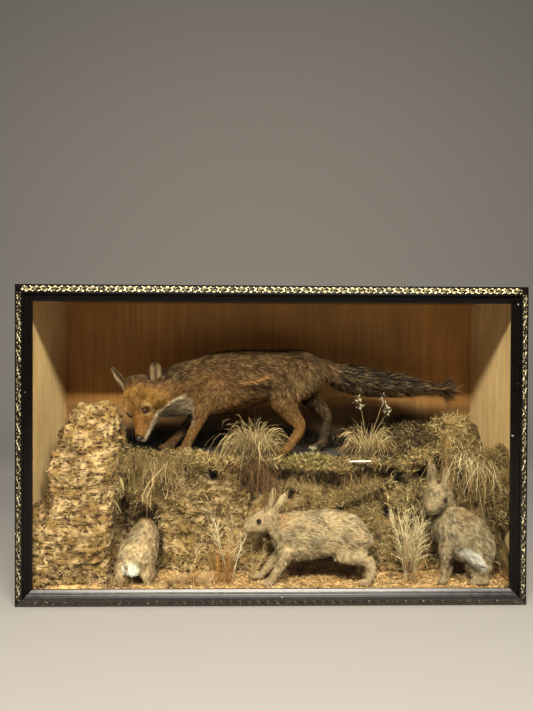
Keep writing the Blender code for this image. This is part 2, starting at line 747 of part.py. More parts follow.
def fox_cuts():
    head_cut = Vector((-0.332, -0.016, 0.574))
    return [disc(head_cut, (-0.84, -0.40, -0.36), 0.115),
            disc((-0.262, 0.008, 0.590), (-0.97, -0.20, 0.10), 0.120),
            disc((0.190, 0.027, 0.630), (0.92, 0.12, -0.36), 0.066),
            disc((-0.225, NEAR_Y + 0.005, 0.474), (-0.36, 0.0, -0.93), 0.030),
            disc((-0.250, FAR_Y - 0.005, 0.476), (-0.50, 0.0, -0.87), 0.030),
            disc((0.056, NEAR_Y + 0.006, 0.512), (0.50, 0.0, -0.86), 0.045),
            disc((0.146, FAR_Y - 0.006, 0.528), (0.70, 0.0, -0.71), 0.042)]


def ear_shell(base, tip, face, width, blunt=2.2, thick=0.0028, rings=7, arc=5):
    """Cupped ear: crescent sections from root to tip."""
    base, tip, face = Vector(base), Vector(tip), Vector(face).normalized()
    axis = (tip - base).normalized()
    face = (face - axis * face.dot(axis)).normalized()
    side = axis.cross(face).normalized()
    loops = []
    for i in range(rings):
        f = i / (rings - 1)
        half = width * (1.0 + 0.25 * math.sin(math.pi * f)) * (1 - f ** blunt) + 0.0025
        depth = half * (0.95 - 0.55 * f)
        centre = base.lerp(tip, f) - face * (0.010 * f * f)
        outer, inner = [], []
        for k in range(arc + 1):
            a = math.pi * k / arc
            out = side * (half * math.cos(a)) - face * (depth * math.sin(a))
            outer.append(centre + out)
            shrink_w = max(0.35, 1 - thick / half)
            shrink_d = max(0.15, 1 - thick / max(depth, thick * 1.2))
            inn = side * (half * shrink_w * math.cos(a)) \
                - face * (depth * shrink_d * math.sin(a) - 0.0012)
            inner.append(centre + inn)
        loops.append(outer + inner[::-1])
    return ring_loft(loops)


def grown(obj, amount, name="cutter"):
    mesh = obj.data.copy()
    shift = [v.co + v.normal * amount for v in mesh.vertices]
    for vert, co in zip(mesh.vertices, shift):
        vert.co = co
    return add_object(name, mesh)


def build_fox():
    fox = blend("fox", fox_parts(), FOX_VOXEL, 7)
    reduce_to(fox, FOX_TRIS)
    seat = grown(fox, 0.0006, "ear_seat")
    boolean(fox, cutter_from([box_data(-1, 1, -1, 1, -1, LEDGE_Z + GAP)]))
    axes = head_axes()
    for sign in (-1, 1):
        centre = head_point(EYE_T, sign * EYE_S, EYE_U)
        radius = EYE_R + GAP
        boolean(fox, cutter_from([ellipsoid(centre, (radius,) * 3, axes, 10, 6)]))
    nose_centre = head_point(NOSE_T - 0.0075, 0, -0.0045)
    nose_radii = (0.0085, 0.0080, 0.0100)
    bigger = tuple(r + GAP for r in nose_radii)
    order = (axes[0], axes[1], axes[2])
    boolean(fox, cutter_from([ellipsoid(nose_centre, bigger, order, 10, 6)]))
    for cut in fox_cuts():
        boolean(fox, cutter_from([cut]))
    tidy_mesh(fox, 3e-5)
    part_out(fox, FOX_NODES)
    for sign, name in ((1, "fox_eye_left"), (-1, "fox_eye_right")):
        centre = head_point(EYE_T, sign * EYE_S, EYE_U)
        data = ellipsoid(centre, (EYE_R,) * 3, axes, 10, 6)
        add_object(name, mesh_from(*data, name), "fox_eye_glass", 80)
    data = ellipsoid(nose_centre, nose_radii, order, 10, 6)
    add_object("fox_nose", mesh_from(*data, "fox_nose"), "fox_nose_skin", 80)
    ears = {
        "fox_ear_left": ((-0.340, -0.046, 0.578), (-0.346, -0.048, 0.664),
                         (0.22, -0.92, -0.20), 0.0195, 4.5),
        "fox_ear_right": ((-0.436, -0.022, 0.584), (-0.487, -0.020, 0.648),
                          (-0.62, -0.62, -0.45), 0.0180, 2.2)}
    for name, (base, tip, face, width, blunt) in ears.items():
        data = ear_shell(base, tip, face, width, blunt)
        ear = add_object(name, mesh_from(*data, name))
        boolean(ear, seat, remove=False)
        tidy_mesh(ear)
        part_out(ear, {name: (tip, "fox_dark")}, 1e-8)
    bpy.data.objects.remove(seat, do_unlink=True)


# ------------------------------------------------------------ rabbits
def leaf_ear(base, tip, half, flat=(0, 1, 0)):
    """Long rabbit ear; flat is the direction it is thin in."""
    base, tip = Vector(base), Vector(tip)
    points = []
    for f, w in ((0.0, 0.60), (0.25, 0.85), (0.55, 1.0), (0.8, 0.75), (1.0, 0.3)):
        p = base.lerp(tip, f)
        points.append((p.x, p.y, p.z, 0.0050, half * w))
    rings = []
    axis = (tip - base).normalized()
    thin = Vector(flat).normalized()
    thin = (thin - axis * thin.dot(axis)).normalized()
    wide = axis.cross(thin).normalized()
    for x, y, z, a, b in points:
        rings.append([Vector((x, y, z)) + thin * (a * math.cos(q * math.pi / 5))
                      + wide * (b * math.sin(q * math.pi / 5)) for q in range(10)])
    return ring_loft(rings)


def middle_rabbit():
    """Walking to the left, weight on the hocks."""
    y = RABBIT_Y
    low = GROUND_Z + 0.008
    parts = [side_profile([
        (-0.006, y, 0.212, 0.152, 0.034), (0.018, y, 0.238, 0.108, 0.046),
        (0.060, y, 0.240, 0.089, 0.053), (0.110, y, 0.243, 0.094, 0.055),
        (0.155, y, 0.248, 0.104, 0.056), (0.205, y, 0.242, 0.108, 0.056),
        (0.242, y, 0.229, 0.110, 0.051), (0.268, y, 0.205, 0.118, 0.040),
        (0.281, y, 0.178, 0.134, 0.022)])]
    parts.append(limb([(0.022, y, 0.202, 0.036, 0.040),
                       (-0.004, y - 0.003, 0.215, 0.036, 0.042),
                       (-0.030, y - 0.005, 0.210, 0.032, 0.036),
                       (-0.055, y - 0.008, 0.198, 0.025, 0.027),
                       (-0.075, y - 0.009, 0.188, 0.017, 0.017),
                       (-0.086, y - 0.009, 0.183, 0.012, 0.012),
                       (-0.092, y - 0.009, 0.181, 0.007, 0.007)]))
    parts.append(leaf_ear((0.003, y - 0.020, 0.240), (0.040, y - 0.022, 0.299),
                          0.0145, (0.5, 1, 0.2)))
    parts.append(leaf_ear((-0.008, y + 0.012, 0.242), (0.004, y + 0.016, 0.304),
                          0.0125, (0.5, 1, 0)))
    for side, shift in ((-0.026, 0.0), (0.024, -0.028)):
        parts.append(tapered([(0.045, y + side, 0.140, 0.028),
                              (0.030 + shift * 0.4, y + side, 0.100, 0.022),
                              (0.010 + shift * 0.8, y + side, 0.068, 0.0155),
                              (-0.004 + shift, y + side, low + 0.005, 0.0130)],
                             (1, 0, 0)))
        parts.append(tapered([(0.004 + shift, y + side, low, 0.0120),
                              (-0.016 + shift, y + side, low, 0.0130),
                              (-0.034 + shift, y + side, low - 0.001, 0.0090)]))
    for side, shift in ((-0.030, 0.0), (0.026, -0.016)):
        parts.append(tapered([(0.176 + shift, y + side, 0.120, 0.020),
                              (0.225 + shift, y + side, 0.112, 0.021),
                              (0.266 + shift, y + side, 0.110, 0.023)]))
        parts.append(tapered([(0.266 + shift, y + side, 0.112, 0.024),
                              (0.279 + shift, y + side, 0.086, 0.0190),
                              (0.279 + shift, y + side, 0.058, 0.0155)],
                             (1, 0, 0)))
        parts.append(tapered([(0.282 + shift, y + side, low + 0.004, 0.0130),
                              (0.262 + shift, y + side, low, 0.0135),
                              (0.243 + shift, y + side, low - 0.001, 0.0100)]))
    parts.append(ellipsoid((0.278, y + 0.010, 0.158), (0.018, 0.016, 0.024)))
    return parts


def left_rabbit():
    """Seen from behind, head pushed into the burrow."""
    low = GROUND_Z + 0.008
    x = -0.388
    parts = [limb([(x + 0.000, -0.160, 0.085, 0.020, 0.024),
                   (x + 0.002, -0.142, 0.098, 0.048, 0.052),
                   (x + 0.004, -0.115, 0.116, 0.059, 0.070),
                   (x + 0.007, -0.080, 0.132, 0.056, 0.076),
                   (x + 0.012, -0.045, 0.142, 0.046, 0.066),
                   (x + 0.015, -0.015, 0.140, 0.036, 0.046),
                   (x + 0.015, 0.005, 0.126, 0.022, 0.028)], 16)]
    parts.append(ellipsoid((x + 0.012, -0.080, 0.150), (0.054, 0.050, 0.065)))
    for side in (-1, 1):
        parts.append(ellipsoid((x + side * 0.036, -0.125, 0.078),
                               (0.024, 0.034, 0.040)))
        parts.append(tapered([(x + side * 0.034, -0.148, low + 0.001, 0.0110),
                              (x + side * 0.040, -0.110, low, 0.0125),
                              (x + side * 0.040, -0.080, low, 0.0100)]))
    parts.append(ellipsoid((x - 0.004, -0.158, 0.089), (0.026, 0.015, 0.022)))
    return parts


def right_rabbit():
    """Sitting up, face towards the glass, tail turned forward."""
    low = GROUND_Z + 0.008
    parts = [limb([(0.484, -0.110, 0.234, 0.036, 0.046),
                   (0.505, -0.110, 0.206, 0.046, 0.063),
                   (0.535, -0.109, 0.180, 0.052, 0.071),
                   (0.568, -0.109, 0.155, 0.055, 0.073),
                   (0.598, -0.110, 0.133, 0.054, 0.060),
                   (0.620, -0.112, 0.114, 0.042, 0.040),
                   (0.634, -0.112, 0.104, 0.020, 0.022)], 16, (1, 0, 1))]
    parts.append(limb([(0.506, -0.082, 0.258, 0.034, 0.038),
                       (0.489, -0.096, 0.270, 0.041, 0.043),
                       (0.471, -0.116, 0.276, 0.041, 0.042),
                       (0.457, -0.136, 0.267, 0.034, 0.035),
                       (0.447, -0.151, 0.254, 0.023, 0.024),
                       (0.442, -0.161, 0.245, 0.012, 0.013)]))
    parts.append(leaf_ear((0.464, -0.108, 0.304), (0.460, -0.108, 0.378), 0.0150,
                          (0.2, 1, 0)))
    parts.append(leaf_ear((0.500, -0.088, 0.296), (0.513, -0.084, 0.364), 0.0140,
                          (0.2, 1, 0)))
    parts.append(tapered([(0.500, -0.126, 0.168, 0.028), (0.494, -0.130, 0.126, 0.020),
                          (0.491, -0.132, 0.080, 0.0130),
                          (0.493, -0.134, low + 0.003, 0.0120)], (1, 0, 0)))
    parts.append(tapered([(0.499, -0.134, low, 0.0110), (0.482, -0.137, low, 0.0120),
                          (0.470, -0.139, low - 0.002, 0.0080)]))
    parts.append(tapered([(0.530, -0.085, 0.140, 0.024), (0.524, -0.084, 0.090, 0.015),
                          (0.520, -0.084, low + 0.003, 0.0115),
                          (0.502, -0.088, low - 0.001, 0.0100)], (1, 0, 0)))
    for side in (-0.140, -0.084):
        parts.append(ellipsoid((0.592, side * 0.5 - 0.056, 0.095),
                               (0.044, 0.026, 0.048)))
        parts.append(tapered([(0.620, side, low + 0.003, 0.0120),
                              (0.590, side, low, 0.0130),
                              (0.558, side - 0.002, low - 0.001, 0.0105)]))
    parts.append(tapered([(0.548, -0.152, 0.128, 0.014), (0.568, -0.156, 0.110, 0.018),
                          (0.590, -0.157, 0.092, 0.015)]))
    return parts


def build_rabbits():
    for name, parts in (("rabbit_left", left_rabbit()),
                        ("rabbit_middle", middle_rabbit()),
                        ("rabbit_right", right_rabbit())):
        rabbit = blend(name + "_work", parts, RABBIT_VOXEL, 4)
        reduce_to(rabbit, RABBIT_TRIS)
        boolean(rabbit, cutter_from([box_data(-1, 1, -1, 1, -1, GROUND_Z + GAP)]))
        tidy_mesh(rabbit)
        part_out(rabbit, {name: ((0, -0.1, 0.15), "rabbit_coat")})


ROCK_NODES = {
    "cork_pillar": ((-0.560, -0.070, 0.290), "cork_bark"),
    "ground_base": ((0.000, 0.000, 0.030), "rock_moss"),
    "ledge_bank": ((0.000, 0.000, 0.250), "cork_bark"),
    "rock_mound": ((0.590, 0.040, 0.280), "rock_moss")}


def main():
    clear_scene()
    build_case()
    rock = build_rockwork()
    part_out(rock, ROCK_NODES, 2e-6, 40)
    build_fox()
    build_rabbits()
    total = 0
    for obj in sorted(bpy.data.objects, key=lambda o: o.name):
        count = sum(len(p.vertices) - 2 for p in obj.data.polygons)
        total += count
        size = [round(d, 3) for d in obj.dimensions]
        print("%-20s %5d %s" % (obj.name, count, size))
    print("triangles", total)


main()
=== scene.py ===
"""A mounted fox in a glazed case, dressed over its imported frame.

Metres, +Z up, the glass towards -Y. Every piece rides on the one body, root.
"""
import math

import bmesh
import bpy
import numpy as np
from mathutils import Matrix, Vector
from mathutils.bvhtree import BVHTree


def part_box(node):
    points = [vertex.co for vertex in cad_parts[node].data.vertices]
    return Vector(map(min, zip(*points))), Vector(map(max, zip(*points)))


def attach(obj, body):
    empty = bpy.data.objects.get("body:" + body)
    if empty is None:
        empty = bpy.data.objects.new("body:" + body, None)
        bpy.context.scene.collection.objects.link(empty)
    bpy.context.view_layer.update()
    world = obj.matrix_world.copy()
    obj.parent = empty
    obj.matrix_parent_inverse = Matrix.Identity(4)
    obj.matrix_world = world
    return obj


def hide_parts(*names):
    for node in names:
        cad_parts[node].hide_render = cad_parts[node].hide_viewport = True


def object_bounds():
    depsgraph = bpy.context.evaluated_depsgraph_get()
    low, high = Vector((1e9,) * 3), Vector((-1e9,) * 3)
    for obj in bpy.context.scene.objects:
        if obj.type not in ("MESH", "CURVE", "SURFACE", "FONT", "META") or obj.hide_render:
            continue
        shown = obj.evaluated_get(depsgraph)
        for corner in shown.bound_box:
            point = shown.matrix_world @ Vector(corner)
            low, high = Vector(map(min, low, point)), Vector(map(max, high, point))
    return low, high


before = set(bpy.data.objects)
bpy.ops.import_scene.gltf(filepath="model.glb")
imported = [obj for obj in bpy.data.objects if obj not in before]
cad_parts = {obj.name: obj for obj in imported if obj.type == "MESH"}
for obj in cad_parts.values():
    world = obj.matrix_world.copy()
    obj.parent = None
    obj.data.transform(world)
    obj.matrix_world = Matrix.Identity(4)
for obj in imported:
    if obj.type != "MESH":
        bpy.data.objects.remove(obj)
CAD_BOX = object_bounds()
MM = 0.001

# ------------------------------------------------------------- measures
CASE_LOW, CASE_HIGH = CAD_BOX
LEDGE_Z = 0.385           # level that the fox stands on
ROCK_FRONT_Y = -0.1815    # rock and soil stop here, behind the glass
PLANT_FRONT_Y = -0.178    # blades turn back here
PLANT_BACK_Y = 0.194
PLANT_LOW_Z = 0.021
INNER_X = -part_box("board_left")[1].x
FRAME_BACK_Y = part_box("frame_bottom")[1].y
HEAD_C = Vector((-0.375, -0.038, 0.536))
HEAD_PITCH, HEAD_YAW, HEAD_TILT = (math.radians(a) for a in (50, 34, 18))
# the fox's eyeball: its radius, and how far ahead, aside and up on the head
EYE_R, EYE_T, EYE_S, EYE_U = 0.0088, 0.034, 0.0305, 0.0215


def head_axes():
    """Ahead along the muzzle, towards the crown, and to the fox's left."""
    level = Vector((-math.sin(HEAD_YAW), -math.cos(HEAD_YAW), 0))
    ahead = level * math.cos(HEAD_PITCH) - Vector((0, 0, math.sin(HEAD_PITCH)))
    crown = level * math.sin(HEAD_PITCH) + Vector((0, 0, math.cos(HEAD_PITCH)))
    side = crown.cross(ahead).normalized()
    tilt = Matrix.Rotation(-HEAD_TILT, 3, "Y")
    return tilt @ ahead.normalized(), tilt @ crown.normalized(), tilt @ side


AHEAD, CROWN, SIDE = head_axes()


def on_head(ahead, side, crown):
    """A place given along the head's own axes."""
    return HEAD_C + AHEAD * ahead + SIDE * side + CROWN * crown


# ---------------------------------------------------------------- tools
def tint(code):
    """An sRGB hex colour as linear numbers."""
    parts = np.array([int(code[i:i + 2], 16) / 255 for i in (1, 3, 5)])
    return np.where(parts <= 0.04045, parts / 12.92, ((parts + 0.055) / 1.055) ** 2.4)


def opaque(code):
    """The same colour with full opacity, for a shader socket."""
    return (*tint(code), 1.0)


def eased(values, low, high):
    """Eased share from 0 at low to 1 at high."""
    f = np.clip((values - low) / (high - low), 0, 1)
    return f * f * (3 - 2 * f)


def value_noise(points, size, seed=0):
    """Smooth noise, about -1 to 1, with features of that size in metres."""
    place = np.asarray(points, float) / size + 57.3 * (seed + 1)
    cell = np.floor(place).astype(np.int64)
    f = place - cell
    f = f * f * (3 - 2 * f)
    total = np.zeros(len(place))
    for corner in range(8):
        step = np.array([corner & 1, corner >> 1 & 1, corner >> 2 & 1])
        key = (cell + step) * np.array([73856093, 19349663, 83492791])
        mixed = (key[:, 0] ^ key[:, 1] ^ key[:, 2]) & 0x7FFFFFFF
        mixed = ((mixed ^ (mixed >> 13)) * 1274126177) & 0x7FFFFFFF
        mixed = (mixed ^ (mixed >> 15)) & 0xFFFF
        total += (mixed / 32767.5 - 1) * np.prod(np.where(step, f, 1 - f), axis=1)
    return total * 1.5


def layered(points, size, layers=3, seed=0):
    """Value noise with finer and weaker layers added."""
    return sum(value_noise(points, size / 2 ** k, seed + k) / 2 ** k
               for k in range(layers)) / 1.5


def blend_in(colour, other, share):
    """Mixes another colour in, by a share for each point."""
    share = np.asarray(share)[:, None]
    return colour * (1 - share) + np.asarray(other) * share


def plain(colour, count):
    """The same colour for each of so many points."""
    return np.tile(colour, (count, 1))


def gap_to(points, centre):
    """Distance of each point from one place."""
    return np.linalg.norm(points - np.array(centre), axis=1)


def unit(vectors):
    """Each vector with its length made one."""
    return vectors / (np.linalg.norm(vectors, axis=1)[:, None] + 1e-12)


def put(tree, kind, inputs=None, **settings):
    """Adds one shader node; a node among its inputs gives its first output."""
    node = tree.nodes.new("ShaderNode" + kind)
    for key, value in settings.items():
        setattr(node, key, value)
    for key, value in (inputs or {}).items():
        socket = node.inputs[key]
        if isinstance(value, bpy.types.Node):
            value = value.outputs[0]
        if isinstance(value, bpy.types.NodeSocket):
            tree.links.new(value, socket)
        else:
            socket.default_value = value
    return node


def new_material(name):
    """A material without nodes yet, and its node tree."""
    material = bpy.data.materials.new(name)
    material.use_nodes = True
    material.node_tree.nodes.clear()
    return material, material.node_tree


def finished(tree, **sockets):
    """Closes a material with its Principled shader."""
    names = {key.replace("_", " ").title().replace("Ior", "IOR"): value
             for key, value in sockets.items()}
    shader = put(tree, "BsdfPrincipled", names)
    put(tree, "OutputMaterial", {"Surface": shader})


# ------------------------------------------------------------ materials
def ebonised_lacquer(name, shine, smooth):
    """Ebonised wood: black shellac over a dark dye, semi-gloss, chipped to gesso."""
    material, tree = new_material(name)
    place = put(tree, "TexCoord").outputs["Object"]
    # rubbed patches about 17 mm across, chips in the lacquer 1 to 2 mm
    rub = put(tree, "TexNoise", {"Vector": place, "Scale": 60.0, "Detail": 6.0})
    chips = put(tree, "TexNoise", {"Vector": place, "Scale": 95.0, "Detail": 2.0})
    chipped = put(tree, "MapRange", {0: chips, 1: 0.77, 2: 0.785})
    worn = put(tree, "Mix", {0: rub, 6: opaque("#050404"),
                             7: opaque("#0D0A09")}, data_type="RGBA")
    colour = put(tree, "Mix", {0: chipped, 6: worn.outputs[2],
                               7: opaque("#B9AE9A")}, data_type="RGBA")
    gloss = put(tree, "MapRange", {0: rub, 1: 0.3, 2: 0.7, 3: smooth, 4: smooth + 0.12})
    bump = put(tree, "Bump", {"Height": rub, "Strength": 0.10, "Distance": 0.3 * MM})
    finished(tree, base_color=colour.outputs[2], roughness=gloss,
             normal=bump, specular_ior_level=shine)
    return material


def gilt_composition(side, worn):
    """Gilt composition ornament: dull pale gold, worn through to the black; the more worn
    the band, the darker its gold, as painted shade.
    """
    material, tree = new_material("gilt_composition_" + side)
    place = put(tree, "TexCoord").outputs["Object"]
    # patches about 7 mm across, where fingers and dusters wore the gilt
    rub = put(tree, "TexNoise", {"Vector": place, "Scale": 140.0, "Detail": 4.0})
    rubbed = put(tree, "MapRange", {0: rub, 1: 0.34 + worn * 0.22,
                                    2: 0.54 + worn * 0.22})
    # painted shade: with more wear the gold also darkens and more black shows, most on the
    # bottom band, which faces down away from the light
    gold = tint("#E2D7A4") * (1 - 0.75 * worn) + tint("#4A3820") * 0.75 * worn
    colour = put(tree, "Mix", {0: rubbed, 6: opaque("#2A2012"),
                               7: (*gold, 1.0)}, data_type="RGBA")
    bump = put(tree, "Bump", {"Height": rub, "Strength": 0.4, "Distance": 0.3 * MM})
    finished(tree, base_color=colour.outputs[2], metallic=0.3, roughness=0.45,
             normal=bump)
    return material


def sheet_glass():
    """Old sheet glass: clear, glossy at a slant, and only on its outer faces."""
    material, tree = new_material("sheet_glass")
    clear = put(tree, "BsdfTransparent", {"Color": (0.97, 0.985, 0.97, 1)})
    gloss = put(tree, "BsdfGlossy", {"Roughness": 0.03})
    edge = put(tree, "Fresnel", {"IOR": 1.22})
    rear = put(tree, "NewGeometry").outputs["Backfacing"]
    facing = put(tree, "Math", {0: 1.0, 1: rear}, operation="SUBTRACT")
    share = put(tree, "Math", {0: edge, 1: facing}, operation="MULTIPLY")
    mixed = put(tree, "MixShader", {0: share, 1: clear, 2: gloss})
    put(tree, "OutputMaterial", {"Surface": mixed})
    return material


def pine(name, inside, outside, outer_axis, outside_from, lying=False, painted_shade_amount=0.0):
    """Planed pine, grain lines 3 to 6 mm apart; its outer face has a colour of its own,
    and its inner face can carry painted light and shade.
    """
    material, tree = new_material(name)
    place = put(tree, "TexCoord").outputs["Object"]
    split = put(tree, "SeparateXYZ", {0: place})
    depth = put(tree, "Math", {0: split.outputs[outer_axis]}, operation="ABSOLUTE")
    outer = put(tree, "MapRange", {0: depth, 1: outside_from,
                                   2: outside_from + 0.2 * MM})
    # the grain wanders by some 35 mm over the length of a board
    drift = put(tree, "TexNoise", {"Vector": place, "Scale": 3.0, "Detail": 2.0})
    small = put(tree, "VectorMath", {0: drift.outputs[1], "Scale": 0.035},
                operation="SCALE")
    bent = put(tree, "VectorMath", {0: place, 1: small}, operation="ADD")
    shades = []
    for codes, flat in ((inside, False), (outside, lying)):
        stretch = (3.0, 90.0, 90.0) if flat else (90.0, 90.0, 3.0)
        long = put(tree, "Mapping", {"Vector": bent, "Scale": stretch})
        grain = put(tree, "TexNoise", {"Vector": long, "Scale": 1.0,
                                       "Detail": 6.0, "Roughness": 0.62})
        share = put(tree, "MapRange", {0: grain, 1: 0.34, 2: 0.68})
        shades.append(put(tree, "Mix", {0: share, 6: opaque(codes[0]),
                                        7: opaque(codes[1])}, data_type="RGBA"))
    # soft patches of age, 100 to 200 mm across
    age = put(tree, "TexNoise", {"Vector": place, "Scale": 6.0, "Detail": 3.0})
    aged_and_shaded = put(tree, "MapRange", {0: age, 1: 0.3, 2: 0.7, 3: 0.82, 4: 1.1})
    # painted light and shade: the wall is drawn darker just above the ledge, where the fox
    # throws its shadow, and from z 0.505 to 0.545 it turns from darker below to lighter
    # above, against the shadow line of the case's top
    painted_shade_low = put(tree, "MapRange", {0: split.outputs["Z"], 1: LEDGE_Z + 0.030,
                                   2: LEDGE_Z + 0.085, 3: 1 - painted_shade_amount, 4: 1.0})
    painted_light_step = put(tree, "MapRange", {0: split.outputs["Z"], 1: 0.505, 2: 0.545,
                                   3: 1 - 0.5 * painted_shade_amount, 4: 1 + 0.85 * painted_shade_amount})
    painted_shading = put(tree, "Math", {0: painted_shade_low, 1: painted_light_step}, operation="MULTIPLY")
    inside_shading = put(tree, "Mix", {0: outer, 2: painted_shading, 3: 1.0})
    aged_and_shaded = put(tree, "Math", {0: aged_and_shaded, 1: inside_shading}, operation="MULTIPLY")
    both = put(tree, "Mix", {0: outer, 6: shades[0].outputs[2],
                             7: shades[1].outputs[2]}, data_type="RGBA")
    if lying:
        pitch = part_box("back_plank_4")[1].z / 4
        seam = put(tree, "Math", {0: split.outputs["Z"], 1: pitch / 2},
                   operation="PINGPONG")
        shadow = put(tree, "MapRange", {0: seam, 1: 0.4 * MM,
                                        2: 1.4 * MM, 3: 0.25, 4: 1.0})
        seen = put(tree, "Mix", {0: outer, 2: 1.0, 3: shadow})
        aged_and_shaded = put(tree, "Math", {0: aged_and_shaded, 1: seen}, operation="MULTIPLY")
    colour = put(tree, "VectorMath", {0: both.outputs[2], 1: aged_and_shaded},
                 operation="MULTIPLY")
    bump = put(tree, "Bump", {"Height": grain, "Strength": 0.35, "Distance": 0.4 * MM})
    finished(tree, base_color=colour, roughness=0.62, normal=bump)
    return material


def painted(name, roughness, fleck_mm, fleck_depth, bump_mm):
    """Matt organic surface: its colour rides on the mesh, with fine flecks."""
    material, tree = new_material(name)
    place = put(tree, "TexCoord").outputs["Object"]
    own = put(tree, "Attribute", attribute_name="paint")
    fleck = put(tree, "TexNoise", {"Vector": place, "Scale": 1 / (fleck_mm * MM),
                                   "Detail": 3.0})
    share = put(tree, "MapRange", {0: fleck, 1: 0.3, 2: 0.7,
                                   3: 1 - fleck_depth, 4: 1 + fleck_depth})
    colour = put(tree, "VectorMath", {0: own, 1: share}, operation="MULTIPLY")
    sockets = {"base_color": colour, "roughness": roughness, "specular_ior_level": 0.2}
    if bump_mm:
        bump = put(tree, "Bump", {"Height": fleck, "Strength": 0.8,
                                  "Distance": bump_mm * MM})
        sockets["normal"] = bump
    finished(tree, **sockets)
    return material


def cracked_cork(name, until_x):
    """Virgin cork: short level cracks about 9 mm and 4 mm apart."""
    material = painted(name, 0.9, 2.4, 0.30, 1.2)
    tree = material.node_tree
    surface = next(n for n in tree.nodes if n.type == "BSDF_PRINCIPLED")
    own = surface.inputs["Base Color"].links[0].from_socket
    place = put(tree, "TexCoord").outputs["Object"]
    # cracks wander by up to 11 mm and break off every 14 mm or so
    drift = put(tree, "TexNoise", {"Vector": place, "Scale": 55.0, "Detail": 3.0})
    small = put(tree, "VectorMath", {0: drift.outputs[1], "Scale": 0.011},
                operation="SCALE")
    bent = put(tree, "VectorMath", {0: place, 1: small}, operation="ADD")
    shares = []
    # width, spacing and darkness of the two sizes of crack
    for wide, high, deep in ((45, 9.0, 0.0), (17, 4.2, 0.45)):
        level = put(tree, "Mapping", {
            "Vector": bent,
            "Scale": (1 / (wide * MM), 1 / (wide * MM), 1 / (high * MM))})
        waves = put(tree, "TexNoise", {"Vector": level, "Scale": 1.0, "Detail": 1.0})
        off = put(tree, "Math", {0: waves, 1: 0.5}, operation="SUBTRACT")
        gap = put(tree, "Math", {0: off}, operation="ABSOLUTE")
        shares.append(put(tree, "MapRange", {0: gap, 1: 0.012, 2: 0.060,
                                             3: deep, 4: 1.0}))
    both = put(tree, "Math", {0: shares[0], 1: shares[1]}, operation="MULTIPLY")
    broken = put(tree, "TexNoise", {"Vector": place, "Scale": 70.0, "Detail": 1.0})
    present = put(tree, "MapRange", {0: broken, 1: 0.40, 2: 0.52})
    split = put(tree, "SeparateXYZ", {0: place})
    fade = put(tree, "MapRange", {0: split.outputs["X"], 1: until_x - 0.04,
                                  2: until_x + 0.02, 3: 1.0, 4: 0.0})
    amount = put(tree, "Math", {0: present, 1: fade}, operation="MULTIPLY")
    cracked = put(tree, "Mix", {0: amount, 2: 1.0, 3: both})
    colour = put(tree, "Mix", {0: cracked, 6: opaque("#3B2814"), 7: own},
                 data_type="RGBA")
    bump = put(tree, "Bump", {"Height": cracked, "Strength": 0.7, "Distance": 1.4 * MM})
    tree.links.new(colour.outputs[2], surface.inputs["Base Color"])
    tree.links.new(bump.outputs[0], surface.inputs["Normal"])
    return material


def moist_skin(name, code, roughness, grain_mm):
    """Bare pebbled skin, dyed and varnished by the taxidermist."""
    material, tree = new_material(name)
    place = put(tree, "TexCoord").outputs["Object"]
    pebbles = put(tree, "TexVoronoi", {"Vector": place, "Scale": 1 / (grain_mm * MM)})
    bump = put(tree, "Bump", {"Height": pebbles, "Strength": 0.5, "Distance": 0.3 * MM})
    shade = put(tree, "MapRange", {0: pebbles, 3: 0.7, 4: 1.3})
    colour = put(tree, "VectorMath", {0: tuple(tint(code)), 1: shade},
                 operation="MULTIPLY")
    finished(tree, base_color=colour, roughness=roughness, normal=bump)
    return material


def eye_glass(name, centre, axis, iris, ring, radius):
    """Blown glass eye: dark pupil, coloured iris, clear wet gloss."""
    material, tree = new_material(name)
    place = put(tree, "TexCoord").outputs["Object"]
    out = put(tree, "VectorMath", {0: place, 1: tuple(centre)}, operation="SUBTRACT")
    along = put(tree, "VectorMath", {0: out, 1: tuple(axis)}, operation="DOT_PRODUCT")
    share = put(tree, "MapRange", {0: along.outputs["Value"],
                                   1: radius * 0.62, 2: radius * 0.80})
    pupil = put(tree, "MapRange", {0: along.outputs["Value"],
                                   1: radius * 0.90, 2: radius * 0.925})
    # iris fibres about 1 mm apart
    fibres = put(tree, "TexNoise", {"Vector": place, "Scale": 900.0})
    iris_tone = put(tree, "Mix", {0: fibres, 6: opaque(ring),
                                  7: opaque(iris)}, data_type="RGBA")
    body = put(tree, "Mix", {0: share, 6: opaque("#120C08"),
                             7: iris_tone.outputs[2]}, data_type="RGBA")
    colour = put(tree, "Mix", {0: pupil, 6: body.outputs[2],
                               7: opaque("#030202")}, data_type="RGBA")
    finished(tree, base_color=colour.outputs[2], roughness=0.06,
             coat_weight=1.0, coat_roughness=0.02, ior=1.5)
    return material


# ------------------------------------------------------------ mesh work
def in_scene(name, data):
    """A new object that holds a mesh, curve, light or camera."""
    obj = bpy.data.objects.new(name, data)
    bpy.context.scene.collection.objects.link(obj)
    return obj


def piece(name, mesh, material, slot, *replaced):
    """Puts a mesh in the scene as a piece on the root body."""
    obj = in_scene(name, mesh)
    mesh.materials.clear()
    mesh.materials.append(material)
    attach(obj, "root")
    if replaced:
        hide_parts(*replaced)
    return obj


def mesh_of(name, bm, smooth=True):
    """Ends a bmesh as a mesh, smooth shaded or flat."""
    mesh = bpy.data.meshes.new(name)
    bm.to_mesh(mesh)
    bm.free()
    if smooth:
        mesh.polygons.foreach_set("use_smooth", np.full(len(mesh.polygons), True))
    return mesh


def evaluated(obj):
    """The mesh that an object's modifiers or curve make; the object goes."""
    graph = bpy.context.evaluated_depsgraph_get()
    mesh = bpy.data.meshes.new_from_object(obj.evaluated_get(graph))
    bpy.data.objects.remove(obj)
    return mesh


